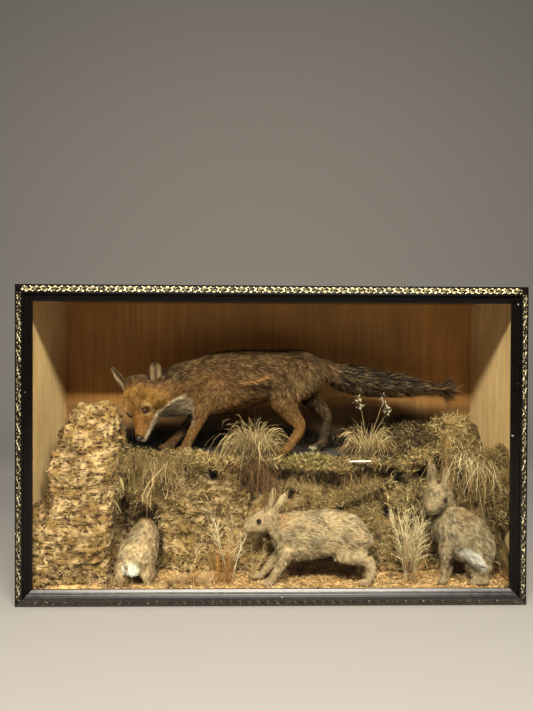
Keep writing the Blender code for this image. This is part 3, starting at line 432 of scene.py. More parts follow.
def in_order(bm):
    """Sorts vertices and faces by place, as some operators leave it to chance."""
    slant = Vector((1.0, 0.618, 0.381))

    def along(vert):
        return vert.co.dot(slant)

    bm.verts.sort(key=along)
    bm.faces.sort(key=lambda face: sum(sorted(map(along, face.verts))))
    bm.verts.index_update()
    bm.faces.index_update()


def thicken(bm, wall):
    """Gives a thin sheet its wall, with its faces outwards before and after."""
    bmesh.ops.recalc_face_normals(bm, faces=bm.faces)
    bmesh.ops.solidify(bm, geom=bm.faces, thickness=wall)
    bmesh.ops.recalc_face_normals(bm, faces=bm.faces)
    in_order(bm)


def mesh_from_arrays(name, points, quads, tris, paint=None, uv=None, smooth=True):
    """A joined mesh of many small shapes, from arrays."""
    mesh = bpy.data.meshes.new(name)
    mesh.vertices.add(len(points))
    mesh.vertices.foreach_set("co", np.asarray(points, np.float32).ravel())
    corners = np.concatenate([quads.ravel(), tris.ravel()]).astype(np.int32)
    mesh.loops.add(len(corners))
    mesh.loops.foreach_set("vertex_index", corners)
    mesh.polygons.add(len(quads) + len(tris))
    starts = np.concatenate([np.arange(len(quads)) * 4,
                             len(quads) * 4 + np.arange(len(tris)) * 3])
    mesh.polygons.foreach_set("loop_start", starts.astype(np.int32))
    mesh.polygons.foreach_set("use_smooth", np.full(len(starts), smooth))
    mesh.update(calc_edges=True)
    if paint is not None:
        paint_mesh(mesh, paint)
    if uv is not None:
        layer = mesh.uv_layers.new(name="OFBake")
        layer.data.foreach_set("uv", uv[corners].astype(np.float32).ravel())
    return mesh


def paint_mesh(mesh, paint):
    """Stores one colour for each vertex, which the materials read."""
    full = np.ones((len(mesh.vertices), 4), np.float32)
    full[:, :3] = np.clip(paint, 0, 1)
    layer = mesh.color_attributes.new("paint", "FLOAT_COLOR", "POINT")
    layer.data.foreach_set("color", full.ravel())


def vertex_arrays(mesh):
    """Places and normals of a mesh's vertices."""
    count = len(mesh.vertices)
    points = np.empty(count * 3, np.float32)
    mesh.vertices.foreach_get("co", points)
    normals = np.empty(count * 3, np.float32)
    mesh.vertices.foreach_get("normal", normals)
    return points.reshape(-1, 3).astype(float), normals.reshape(-1, 3).astype(float)


def rebuilt(names, voxel, smoothing, grow=0.0):
    """CAD nodes joined and remeshed as one even skin."""
    whole = bmesh.new()
    for name in names:
        part = bmesh.new()
        part.from_mesh(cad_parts[name].data)
        bmesh.ops.remove_doubles(part, verts=part.verts, dist=1e-6)
        part.normal_update()
        shifts = [v.normal * grow for v in part.verts]
        for vert, shift in zip(part.verts, shifts):
            vert.co += shift
        copy = mesh_of("copy", part, smooth=False)
        whole.from_mesh(copy)
        bpy.data.meshes.remove(copy)
    obj = in_scene("whole", mesh_of("whole", whole, smooth=False))
    remesh = obj.modifiers.new("remesh", "REMESH")
    remesh.mode = "VOXEL"
    remesh.voxel_size = voxel
    remesh.use_smooth_shade = True
    if smoothing:
        soften = obj.modifiers.new("soften", "SMOOTH")
        soften.factor = 0.5
        soften.iterations = smoothing
    return evaluated(obj)


def move_vertices(mesh, points):
    """Puts a mesh's vertices at new places."""
    mesh.vertices.foreach_set("co", np.asarray(points, np.float32).ravel())
    mesh.update()


def unwrap(obj):
    """Gives a skin its own unwrap, which its coat's tufts share."""
    layer = obj.data.uv_layers.new(name="OFBake")
    obj.data.uv_layers.active = layer
    bpy.ops.object.select_all(action="DESELECT")
    obj.select_set(True)
    bpy.context.view_layer.objects.active = obj
    bpy.ops.object.mode_set(mode="EDIT")
    bpy.ops.mesh.select_all(action="SELECT")
    bpy.ops.uv.smart_project(angle_limit=math.radians(72), island_margin=0.002)
    bpy.ops.object.mode_set(mode="OBJECT")


def scatter(mesh, count, weigh, rng):
    """Random places on a mesh: points, normals and unwrap places."""
    mesh.calc_loop_triangles()
    total = len(mesh.loop_triangles)
    corners = np.empty(total * 3, np.int32)
    mesh.loop_triangles.foreach_get("vertices", corners)
    corners = corners.reshape(-1, 3)
    loops = np.empty(total * 3, np.int32)
    mesh.loop_triangles.foreach_get("loops", loops)
    loops = loops.reshape(-1, 3)
    points, normals = vertex_arrays(mesh)
    a, b, c = (points[corners[:, k]] for k in range(3))
    area = np.linalg.norm(np.cross(b - a, c - a), axis=1) / 2
    facing = normals[corners].mean(1)
    share = area * weigh((a + b + c) / 3, facing)
    picked = rng.choice(total, count, p=share / share.sum())
    r1 = np.sqrt(rng.random(count))
    r2 = rng.random(count)
    mix = np.stack([1 - r1, r1 * (1 - r2), r1 * r2], 1)[:, :, None]
    place = (points[corners[picked]] * mix).sum(1)
    normal = (normals[corners[picked]] * mix).sum(1)
    normal /= np.linalg.norm(normal, axis=1)[:, None] + 1e-9
    flat = None
    if mesh.uv_layers:
        uv = np.empty(len(mesh.loops) * 2, np.float32)
        mesh.uv_layers[0].data.foreach_get("uv", uv)
        flat = (uv.reshape(-1, 2)[loops[picked]] * mix).sum(1)
    return place, normal, flat


def ribbons(name, path, half, across, paint, uv=None):
    """Tapering blades. path is strands x stations x 3; half the half widths."""
    strands, stations = path.shape[:2]
    pairs = stations - 1
    left = path[:, :pairs] - across[:, None] * half[:, :, None]
    right = path[:, :pairs] + across[:, None] * half[:, :, None]
    sides = np.stack([left, right], 2).reshape(strands, pairs * 2, 3)
    points = np.concatenate([sides, path[:, -1:]], 1)
    each = pairs * 2 + 1
    base = (np.arange(strands) * each)[:, None]
    quads = np.concatenate(
        [base + np.array([2 * k, 2 * k + 1, 2 * k + 3, 2 * k + 2])
         for k in range(pairs - 1)]) if pairs > 1 else np.empty((0, 4), int)
    tris = base + np.array([2 * pairs - 2, 2 * pairs - 1, 2 * pairs])
    colours = np.concatenate([np.repeat(paint[:, :pairs], 2, axis=1),
                              paint[:, -1:]], 1).reshape(-1, 3)
    flat = None
    if uv is not None:
        # each tuft is a patch about 0.003 across at its root's place
        u = np.tile(np.concatenate([[-1, 1] * pairs, [0]]), (strands, 1)) * 0.0015
        run = np.repeat(np.arange(stations), 2)[:-1] / pairs
        v = np.tile(run - 0.5, (strands, 1)) * 0.003
        flat = (uv[:, None] + np.stack([u, v], 2)).reshape(-1, 2)
    return mesh_from_arrays(name, points.reshape(-1, 3), quads, tris, colours, flat)


def lie_of_coat(points, bones):
    """Heading, hair length and coat depth from the nearest guide lines."""
    starts, ends, hair, depth = (np.array([tuple(b[k]) if k < 2 else b[k]
                                           for b in bones], float)
                                 for k in range(4))
    run = ends - starts
    squared = (run ** 2).sum(1)
    heading = np.zeros((len(points), 3))
    length = np.zeros(len(points))
    thick = np.zeros(len(points))
    total = np.zeros(len(points))
    for k in range(len(bones)):
        f = np.clip(((points - starts[k]) @ run[k]) / squared[k], 0, 1)
        gap = np.linalg.norm(points - starts[k] - f[:, None] * run[k], axis=1)
        weight = 1 / (gap + 0.004) ** 4
        heading += weight[:, None] * run[k] / math.sqrt(squared[k])
        length += weight * hair[k]
        thick += weight * depth[k]
        total += weight
    return unit(heading), length / total * MM, thick / total * MM


def shrink_by_coat(mesh, bones):
    """Draws a skin in by the coat's depth."""
    points, normals = vertex_arrays(mesh)
    depth = lie_of_coat(points, bones)[2]
    move_vertices(mesh, points - normals * depth[:, None])


def grow_coat(name, skin, count, bones, colours, rng, material, slot,
              ruffle=0.35, keep=None, pieces=1, thin=1.0):
    """Covers a skin in tufts that lie along it, as one or more pieces."""
    def weigh(points, facing):
        hair = lie_of_coat(points, bones)[1]
        share = 1 / (hair + 0.004) ** 1.25
        return share * keep(points, facing) if keep else share

    root, normal, flat = scatter(skin, count, weigh, rng)
    heading, hair, depth = lie_of_coat(root, bones)
    swirl = np.stack([value_noise(root, 0.017, 11 + k)
                      + 0.8 * value_noise(root, 0.0070, 14 + k)
                      for k in range(3)], 1)
    fray = rng.normal(size=(count, 3))
    heading = heading + swirl * ruffle * 0.7 + fray * ruffle * 0.20
    heading -= normal * (heading * normal).sum(1)[:, None]
    heading = unit(heading)
    hair = hair * (0.50 + 0.42 * rng.random(count) + 0.12 * value_noise(root, 0.022, 5))
    lift = 1 + 0.45 * value_noise(root, 0.0080, 17)
    rise = np.clip(depth / hair, 0.05, 0.8) * lift * (0.8 + 0.4 * rng.random(count))
    bend = unit(heading + normal * (rise * 1.35)[:, None])
    droop = unit(heading + normal * (rise * 0.55)[:, None])
    mid = root + bend * (hair * 0.5)[:, None]
    tip = mid + droop * (hair * 0.5)[:, None]
    path = np.stack([root - normal * 0.0006, mid, tip], 1)
    wide = (0.00034 + hair * 0.0170) * thin
    half = np.stack([wide * 0.62, wide * 0.5], 1)
    roll = unit(np.cross(normal, heading) + normal * rng.normal(size=(count, 1)) * 0.35)
    paint = colours(root, normal, rng)
    order = np.argsort(root[:, 0], kind="stable")
    made = []
    for k, chosen in enumerate(np.array_split(order, pieces)):
        label = name if pieces == 1 else f"{name}_{k + 1}"
        mesh = ribbons(label, path[chosen], half[chosen], roll[chosen],
                       paint[chosen], flat[chosen])
        made.append(piece(label, mesh, material, slot))
    return made


# ------------------------------------------------------- case and frame
BAND_MIDDLE = (0.0125, 0.0185)    # of the gilt band: inwards, forwards
BAND_SLOPE = (19.0, 12.0)         # its face runs that far inwards and forwards
SCROLL = 0.050                    # one repeat of the scroll
BAND_ENDS = 0.018                 # left plain at the mitres, both together


def ridge(bm, path, half, rise):
    """A low roof-shaped rib along a path."""
    rows = []
    for k, (a, b) in enumerate(path):
        before = path[max(k - 1, 0)]
        after = path[min(k + 1, len(path) - 1)]
        run = Vector((after[0] - before[0], after[1] - before[1])).normalized()
        wide = half * (0.35 if k in (0, len(path) - 1) else 1.0)
        across = Vector((-run.y, run.x)) * wide
        rows.append([bm.verts.new((a + across.x, b + across.y, -0.0004)),
                     bm.verts.new((a, b, rise)),
                     bm.verts.new((a - across.x, b - across.y, -0.0004))])
    for low, high in zip(rows, rows[1:]):
        for k in (0, 1):
            bm.faces.new((low[k], low[k + 1], high[k + 1], high[k]))


def leaf(bm, a, b, turn, length, half, rise=0.0013):
    """One pointed leaf, a flattened lump lying on the band."""
    made = bmesh.ops.create_icosphere(bm, subdivisions=1, radius=1.0)["verts"]
    shape = Matrix.Translation((a, b, 0)) @ Matrix.Rotation(turn, 4, "Z") \
        @ Matrix.Diagonal((length, half, rise, 1))
    bmesh.ops.transform(bm, matrix=shape, verts=made)


def scroll_motif(length):
    """A wavy stem with a curled branch and leaves in each half wave."""
    bm = bmesh.new()
    stem = [(length * k / 10, 0.0062 * math.sin(2 * math.pi * k / 10))
            for k in range(11)]
    ridge(bm, stem, 0.0010, 0.0012)
    for a, up in ((0.25 * length, -1), (0.75 * length, 1)):
        curl = []
        for k in range(9):
            turn = 0.4 + k * 0.72
            reach = 0.0068 * (1 - k / 11)
            curl.append((a + reach * math.cos(turn),
                         up * (0.0030 - reach * math.sin(turn))))
        ridge(bm, curl, 0.0011, 0.0015)
        for da, db, turn, size in ((-0.0085, 0.0074, 0.5, 0.0044),
                                   (0.0085, 0.0074, -0.5, 0.0044),
                                   (0.0, -0.0080, 0.0, 0.0050),
                                   (0.0115, -0.0040, 0.9, 0.0042),
                                   (-0.0115, -0.0040, -0.9, 0.0042)):
            leaf(bm, a + da, up * db, up * turn, size, 0.0017)
    return bm


def gilt_band(side):
    """The scroll band on the outward slope of one length of moulding."""
    wide = CASE_HIGH.x - CASE_LOW.x
    tall = CASE_HIGH.z - CASE_LOW.z
    level = side in ("bottom", "top")
    span = (wide if level else tall) - 2 * BAND_MIDDLE[0] - BAND_ENDS
    repeats = round(span / SCROLL)
    motif = scroll_motif(span / repeats)
    for place in (0.04, 0.5):
        leaf(motif, place * span / repeats, 0.0, 0.8, 0.0030, 0.0024)
    copy = mesh_of("motif", motif, smooth=False)
    band = bmesh.new()
    inward = {"bottom": (0, 0, 1), "top": (0, 0, -1),
              "left": (1, 0, 0), "right": (-1, 0, 0)}[side]
    inward, front = Vector(inward), Vector((0, -1, 0))
    slope = (inward * BAND_SLOPE[0] + front * BAND_SLOPE[1]).normalized()
    out = (front * BAND_SLOPE[0] - inward * BAND_SLOPE[1]).normalized()
    along = Vector((1, 0, 0)) if level else Vector((0, 0, 1))
    edge = {"bottom": (0, FRAME_BACK_Y, 0), "top": (0, FRAME_BACK_Y, tall),
            "left": (CASE_LOW.x, FRAME_BACK_Y, tall / 2),
            "right": (CASE_HIGH.x, FRAME_BACK_Y, tall / 2)}[side]
    middle = Vector(edge) + inward * BAND_MIDDLE[0] + front * BAND_MIDDLE[1]
    turn = Matrix((along, slope, out)).transposed().to_4x4()
    for k in range(repeats):
        start = middle + along * (span * (k / repeats - 0.5))
        count = len(band.verts)
        band.from_mesh(copy)
        band.verts.ensure_lookup_table()
        bmesh.ops.transform(band, matrix=Matrix.Translation(start) @ turn,
                            verts=band.verts[count:])
    bmesh.ops.recalc_face_normals(band, faces=band.faces)
    mesh = mesh_of("gilt_band_" + side, band, smooth=False)
    bpy.data.meshes.remove(copy)
    gilt = gilt_composition(side, GILT_WEAR_AND_SHADE[side])
    piece("gilt_band_" + side, mesh, gilt, "ebonised_frame")


def dress(material, *names):
    """Gives CAD nodes their finish."""
    for name in names:
        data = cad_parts[name].data
        data.materials.clear()
        data.materials.append(material)


BLACK_STAIN, BARE_PINE = ("#0B0908", "#16110E"), ("#A97D45", "#8A6232")
INNER_STAIN = 0.6 * MM            # how far the inner colour reaches into a board
NEVER = 1.0                       # further out than any face of the case
# how worn each band is, partly real rubbing and partly painted shade: the bands that face
# away from the light get darker gold
GILT_WEAR_AND_SHADE = {"top": 0.0, "left": 0.5, "right": 0.5, "bottom": 1.0}
dress(ebonised_lacquer("ebonised_shellac", 0.18, 0.13), "frame_top", "frame_left",
      "frame_right")
dress(ebonised_lacquer("ebonised_shellac_rubbed", 1.0, 0.27), "frame_bottom")
dress(sheet_glass(), "glass_pane")
# painted light: the inner faces of the sides are drawn much paler than the same pine of
# top, floor and back, as the light falls on them
dress(pine("pine_sides", ("#F4D49E", "#DDB476"), BLACK_STAIN, "X",
           INNER_X + INNER_STAIN),
      "board_left", "board_right")
dress(pine("pine_top", BARE_PINE, BLACK_STAIN, "Z",
           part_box("board_top")[0].z + INNER_STAIN),
      "board_top")
dress(pine("pine_floor", BARE_PINE, BARE_PINE, "Z", NEVER), "board_floor")
# the back's inner face carries painted shade above the ledge and painted light higher up
dress(pine("pine_back", ("#A3743A", "#8A5F30"), ("#C49A62", "#9C7140"), "Y",
           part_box("back_plank_1")[0].y + INNER_STAIN, lying=True, painted_shade_amount=0.8),
      "back_plank_1", "back_plank_2", "back_plank_3", "back_plank_4")
for side_name in ("bottom", "top", "left", "right"):
    gilt_band(side_name)


# ----------------------------------------------------------- groundwork
PALE_CORK, GOLD_CORK = tint("#B0946A"), tint("#876A3E")
# the near-black brown serves for dark crumbs and for painted shade on the rock
BROWN_CORK, CHAR_AND_SHADE = tint("#4C351A"), tint("#140D07")
OLIVE, SLATE = tint("#4E4226"), tint("#4E4D4B")
DRY_MOSS, PALE_SOIL = tint("#5C4B2B"), tint("#BE9662")
# hollows on the rock face, pressed in and painted near black as painted shade: x, z, half
# width, half height
HOLLOWS = ((-0.168, 0.326, 0.020, 0.018), (-0.045, 0.300, 0.018, 0.044),
           (0.057, 0.262, 0.022, 0.016), (0.379, 0.317, 0.018, 0.022),
           (0.350, 0.212, 0.020, 0.020),
           (0.020, 0.352, 0.034, 0.006), (-0.260, 0.352, 0.016, 0.008),
           (0.455, 0.330, 0.016, 0.012),
           (0.250, 0.300, 0.040, 0.005), (0.140, 0.340, 0.050, 0.004))


def hollow_share(points):
    """How far each point of the rock face lies in a hollow, 0 to 1."""
    share = np.zeros(len(points))
    for x, z, half_x, half_z in HOLLOWS:
        reach = np.hypot((points[:, 0] - x) / half_x, (points[:, 2] - z) / half_z)
        reach += 0.35 * value_noise(points, 0.010, 21)
        share = np.maximum(share, 1 - eased(reach, 0.55, 1.25))
    return share * (points[:, 1] < 0.0)


def fissures(points):
    """Wavy level cracks of virgin cork, about 10 mm apart and broken up."""
    squeezed = points * np.array([1.0, 1.0, 2.9])
    marks = value_noise(squeezed, 0.030, 31) + 0.45 * value_noise(squeezed, 0.013, 32)
    lines = 1 - eased(np.abs(marks), 0.05, 0.20)
    return lines * eased(value_noise(points, 0.028, 33), -0.55, 0.15)


def rough_rock(name, nodes, voxel, seed, cork, material, slot):
    """Remeshes groundwork and works its surface up with layered relief."""
    mesh = rebuilt(nodes, voxel, 2)
    points, normals = vertex_arrays(mesh)
    lumps = layered(points, 0.034, 3, seed)
    grit = value_noise(points, 0.0085, seed + 5)
    hollows = hollow_share(points)
    cracks = fissures(points) * cork(points)
    plates = value_noise(points * np.array([1.0, 1.0, 3.0]), 0.026, seed + 7)
    pits = eased(value_noise(points, 0.022, seed + 9), 0.45, 0.95) \
        * (1 - 0.75 * cork(points))
    height = (0.0056 * lumps + 0.0026 * grit + 0.0030 * plates * cork(points)
              - 0.0022 * cracks - 0.0160 * hollows - 0.0070 * pits)
    # the outer faces against case and floor stay true
    inner = (np.abs(points[:, 0]) < INNER_X - 0.006) \
        & (points[:, 1] < 0.180) & (points[:, 2] > 0.030)
    standing = (points[:, 2] > LEDGE_Z - 0.004) & (points[:, 2] < LEDGE_Z + 0.006) \
        & (normals[:, 2] > 0.8)
    height = np.where(inner, height, 0) * np.where(standing, 0.30, 1.0)
    height = np.minimum(height, np.where(standing, -0.0002, 1.0))
    moved = points + normals * height[:, None]
    moved[:, 0] = np.clip(moved[:, 0], -INNER_X, INNER_X)
    moved[:, 1] = np.maximum(moved[:, 1], ROCK_FRONT_Y)
    move_vertices(mesh, moved)
    # painted shade: the hollows and the pits are painted dark
    hollows = np.maximum(hollows, 0.75 * pits)
    paint_mesh(mesh, rock_paint(points, normals, lumps, grit, cracks, hollows, cork))
    return piece(name, mesh, material, slot, *nodes)


def rock_paint(points, normals, lumps, grit, cracks, hollows, cork):
    """Cork, moss, soil and slate colours, dark in the cracks; painted shade in the low
    places, hollows and pits, on faces turned left and at the back of the ledge.
    """
    broad = layered(points, 0.080, 2, 41)
    patch = layered(points, 0.019, 3, 42)
    colour = blend_in(plain(GOLD_CORK, len(points)), PALE_CORK,
                      eased(patch, -0.35, 0.45))
    barky = cork(points)
    mossy = eased(broad + 0.6 * patch, -0.15, 0.55) * (1 - barky)
    colour = blend_in(colour, OLIVE, 0.75 * mossy)
    # painted shade: the low places of the relief turn brown, the lowest near black
    colour = blend_in(colour, BROWN_CORK, (0.85 - 0.40 * barky) * eased(
        -lumps - 0.5 * grit, 0.05, 0.75))
    colour = blend_in(colour, CHAR_AND_SHADE, eased(-lumps - 0.6 * grit, 0.65, 1.15)
                      * (1 - 0.75 * barky))
    colour = blend_in(colour, BROWN_CORK * 0.7, 0.22 * cracks)
    # painted shade: bark on faces turned towards -X and the side wall is browner
    colour = blend_in(colour, BROWN_CORK, 0.65 * barky * eased(
        -normals[:, 0] + 0.3 * grit, 0.25, 0.75))
    right = eased(points[:, 0], 0.02, 0.12) * (1 - barky * 0.5)
    colour = blend_in(colour, DRY_MOSS, 0.65 * right)
    soil = eased(-points[:, 2], -0.075, -0.050)
    colour = blend_in(colour, PALE_SOIL * (1 + 0.3 * grit[:, None]),
                      0.80 * soil * (1 - barky))
    flat = eased(normals[:, 2], 0.75, 0.95) \
        * eased(points[:, 1], -0.062, -0.035) \
        * (np.abs(points[:, 2] - LEDGE_Z) < 0.012)
    colour = blend_in(colour, SLATE * 0.55, 0.9 * flat)
    # painted shade: near black towards the back wall, above 0.30 m
    deep = eased(points[:, 1], 0.02, 0.09) * (points[:, 2] > 0.30)
    colour = blend_in(colour, CHAR_AND_SHADE, 0.55 * deep)
    # painted shade in the hollows and pits
    return blend_in(colour, CHAR_AND_SHADE * 0.6, hollows)


def pillar_cork(points):
    """The pillar is cork all over."""
    return np.ones(len(points))


def bank_cork(points):
    """Cork shows on the left half of the rock face; the rest is mossy."""
    x = points[:, 0] + 0.03 * value_noise(points, 0.06, 51)
    left = 1 - eased(x, -0.10, -0.02)
    slab = eased(x, 0.02, 0.10) * (1 - eased(x, 0.30, 0.36)) \
        * eased(points[:, 2], 0.29, 0.33)
    return np.maximum(left * 0.9, slab * 0.5) * (points[:, 2] < 0.372)


def no_cork(points):
    """The mound and the ground have none."""
    return np.zeros(len(points))


# bark, bark with moss, and glued grit with moss: all dry, rough and without gloss
CORK = cracked_cork("virgin_cork_bark", 1.0)
BANK_CRUST = cracked_cork("cork_and_moss_crust", -0.06)
MOSS = painted("groundwork_grit_and_moss", 0.92, 2.2, 0.34, 1.4)
# name, nodes, grain of the remesh, seed, where cork shows, finish and slot
PILLAR = rough_rock("cork_pillar_rough", ["cork_pillar"], 0.0040, 1, pillar_cork,
                    CORK, "cork_bark")
BANK = rough_rock("ledge_bank_rough", ["ledge_bank"], 0.0063, 2, bank_cork,
                  BANK_CRUST, "rock_moss")
MOUND = rough_rock("rock_mound_rough", ["rock_mound"], 0.0042, 3, no_cork,
                   MOSS, "rock_moss")
GROUND = rough_rock("ground_rough", ["ground_base"], 0.0060, 4, no_cork,
                    MOSS, "rock_moss")


# ------------------------------------------------------------- the fox
def mirrored(row):
    """A guide line of the head and its twin on the other cheek."""
    (a, b), hair, depth = row
    return [(on_head(a[0], s * a[1], a[2]), on_head(b[0], s * b[1], b[2]),
             hair, depth) for s in (1, -1)]


def fox_guides():
    """Lie of the coat: from, to, hair length and coat depth in mm."""
    rows = [
        (on_head(.112, 0, .000), on_head(.052, 0, .018), 6, 1.0),
        (on_head(.108, 0, -.026), on_head(.030, 0, -.044), 9, 2.0),
        (on_head(.046, 0, .030), on_head(-.012, 0, .062), 14, 4.0),
        (on_head(-.022, 0, .066), on_head(-.075, 0, .034), 26, 10),
        (on_head(.020, 0, -.050), (-.272, 0, .505), 28, 10),
        ((-.395, -.010, .625), (-.300, .005, .640), 26, 9),
        ((-.345, -.010, .622), (-.250, .010, .660), 30, 11),
        ((-.318, -.080, .565), (-.240, -.058, .590), 32, 12),
        ((-.340, .045, .560), (-.245, .085, .590), 32, 12),
        ((-.300, -.015, .498), (-.205, .010, .482), 34, 12),
        ((-.245, .020, .680), (-.060, .020, .706), 30, 10),
        ((-.060, .020, .706), (.120, .020, .700), 30, 10),
        ((-.225, -.058, .640), (-.060, -.062, .600), 28, 9),
        ((-.225, .098, .640), (-.060, .102, .600), 28, 9),
        ((-.060, -.060, .640), (.060, -.056, .600), 27, 9),
        ((-.060, .100, .640), (.060, .096, .600), 27, 9),
        ((-.160, .020, .498), (.020, .020, .548), 26, 8),
        ((.110, .020, .695), (.168, .022, .635), 30, 10),
        # tail
        ((.130, .020, .652), (.205, .029, .622), 40, 14),
        ((.205, .029, .622), (.370, .048, .593), 52, 22),
        ((.370, .048, .593), (.480, .055, .583), 62, 26),
        ((.480, .055, .583), (.580, .060, .575), 66, 32)]
    # cheeks, on the head's own axes
    for row in ((((.106, .018, -.010), (.050, .032, -.008)), 6, 1.0),
                (((.046, .030, .018), (.014, .052, .020)), 7, 1.6),
                (((.034, .048, -.008), (-.030, .090, -.024)), 24, 8.0),
                (((.010, .030, .052), (-.035, .070, .040)), 18, 6.0)):
        rows += mirrored(row)
    # forelegs: the near one, then the far one, which steps ahead
    for out, y, drift in ((-.012, -.030, 0.0), (.012, .070, -.030)):
        rows += [
            ((-.170, y + out, .610), (-.205, y + out / 2, .515), 18, 6),
            ((-.205 + drift * .3, y, .512), (-.258 + drift * 1.9, y, .404), 8, 2.2),
            ((-.262 + drift * 1.9, y, .398), (-.300 + drift * 1.9, y, .388), 5, 1.0)]
    # hind legs
    rows += [
        ((.078, -.058, .660), (.044, -.050, .555), 24, 8),
        ((.040, -.030, .540), (.086, -.024, .480), 12, 3.5),
        ((.086, -.024, .474), (.050, -.024, .402), 8, 2.2),
        ((.050, -.024, .397), (.004, -.024, .388), 5, 1.0),
        ((.106, .092, .655), (.114, .090, .560), 24, 7),
        ((.120, .064, .550), (.176, .064, .498), 11, 3.5),
        ((.178, .064, .480), (.164, .064, .404), 8, 2.2),
        ((.165, .064, .397), (.120, .064, .388), 5, 1.0)]
    return rows


FOX_BONES = fox_guides()
AGED_WHITE, CREAM = tint("#DCCCB0"), tint("#C9A878")
GOLD_FACE, ORANGE = tint("#91672F"), tint("#765023")
GRIZZLE, EARTH, SOOT = tint("#4B3218"), tint("#4E3820"), tint("#120B06")


def head_places(points):
    """How far ahead, aside and up on the head each point lies."""
    out = points - np.array(HEAD_C)
    return out @ np.array(AHEAD), out @ np.array(SIDE), out @ np.array(CROWN)


def from_line(points, start, end):
    """Distance of each point from a straight line between two ends."""
    start, run = np.array(start), np.array(end) - np.array(start)
    f = np.clip((points - start) @ run / (run @ run), 0, 1)
    return np.linalg.norm(points - start - f[:, None] * run, axis=1)


def body_markings(points, soft, fine):
    """Back, belly, legs, brush, throat and neck."""
    x, y, z = points.T
    colour = plain(GRIZZLE, len(points))
    grey = np.full(len(points), 0.55)
    # dark along the spine, warmer on the shoulder; under the belly browner, with fewer
    # pale tips, partly painted shade
    colour = blend_in(colour, EARTH, 0.75 * eased(z + 0.01 * soft, 0.655, 0.705))
    colour = blend_in(colour, tint("#6E4A24"), 0.7 * eased(-x, 0.04, 0.16)
                      * eased(0.66 - z, 0.0, 0.06))
    belly = eased(0.575 - z + 0.006 * soft, 0.0, 0.035) * eased(x, -0.17, -0.13)
    colour = blend_in(colour, tint("#5A3A1C"), belly)
    grey = grey * (1 - 0.8 * belly)
    # a pale line along a fold on the near flank: painted highlight on the fold's ridge
    side_on = points * np.array((1, 0, 1))
    fold = np.minimum(from_line(side_on, (-.103, 0, .606), (-.045, 0, .612)),
                      from_line(side_on, (-.045, 0, .612), (-.020, 0, .624)))
    fold = np.exp(-((fold + 0.0022 * fine) / 0.0034) ** 2) * (y < 0)
    colour = blend_in(colour, tint("#A8743F"), 0.80 * fold)
    grey = grey * (1 - 0.9 * fold)
    # legs: near pair orange; the far pair drawn dark, painted shade on the side away from
    # the light
    low = eased(0.545 - z, 0.0, 0.045)
    near = eased(0.020 - y, 0.0, 0.02)
    leg = low * eased(np.abs(x + 0.02) - 0.05, 0.0, 0.02)
    chest = eased(-x, 0.215, 0.235) * eased(z, 0.475, 0.490)
    leg = np.where(x > 0, eased(0.575 - z, 0.0, 0.05), leg) * (1 - chest)
    colour = blend_in(colour, ORANGE * np.where(x < 0, 0.72, 0.88)[:, None], leg * near)
    colour = blend_in(colour, tint("#281A0D"), leg * (1 - near))
    grey = grey * (1 - 0.55 * leg)
    # darker down the front of each leg, the far hind toes white
    colour = blend_in(colour, tint("#3E2812"), 0.60 * leg
                      * eased(z + 0.012 * soft, 0.470, 0.520))
    toes = eased(0.404 - z, 0.0, 0.010) * eased(0.150 - x, 0.0, 0.010)
    colour = blend_in(colour, AGED_WHITE * 0.8, toes * (1 - near) * (x > 0) * 0.8)
    # brush
    tail = eased(x, 0.165, 0.215) * eased(z, 0.535, 0.550)
    colour = blend_in(colour, tint("#1B1007"), tail)
    colour = blend_in(colour, tint("#442D16"), tail * 0.6 * eased(0.600 - z, 0.0, 0.03))
    grey = grey * (1 - 0.45 * tail)
    # throat and chest, grey-white and woolly
    throat = eased(0.548 - z + 0.006 * soft, 0.0, 0.020) \
        * eased(-0.222 - x + 0.008 * soft, 0.0, 0.025) \
        * eased(z, 0.470, 0.485)
    colour = blend_in(colour, tint("#85735C"), throat)
    # neck: russet behind the cheek; the nape drawn dark, painted shade under the top of
    # the case
    neck = eased(-x, 0.235, 0.275) * (1 - throat)
    colour = blend_in(colour, tint("#6A4520"), 0.8 * neck)
    colour = blend_in(colour, tint("#24160A"), 0.9 * neck
                      * eased(z + 0.004 * soft, 0.585, 0.608))
    return colour, grey


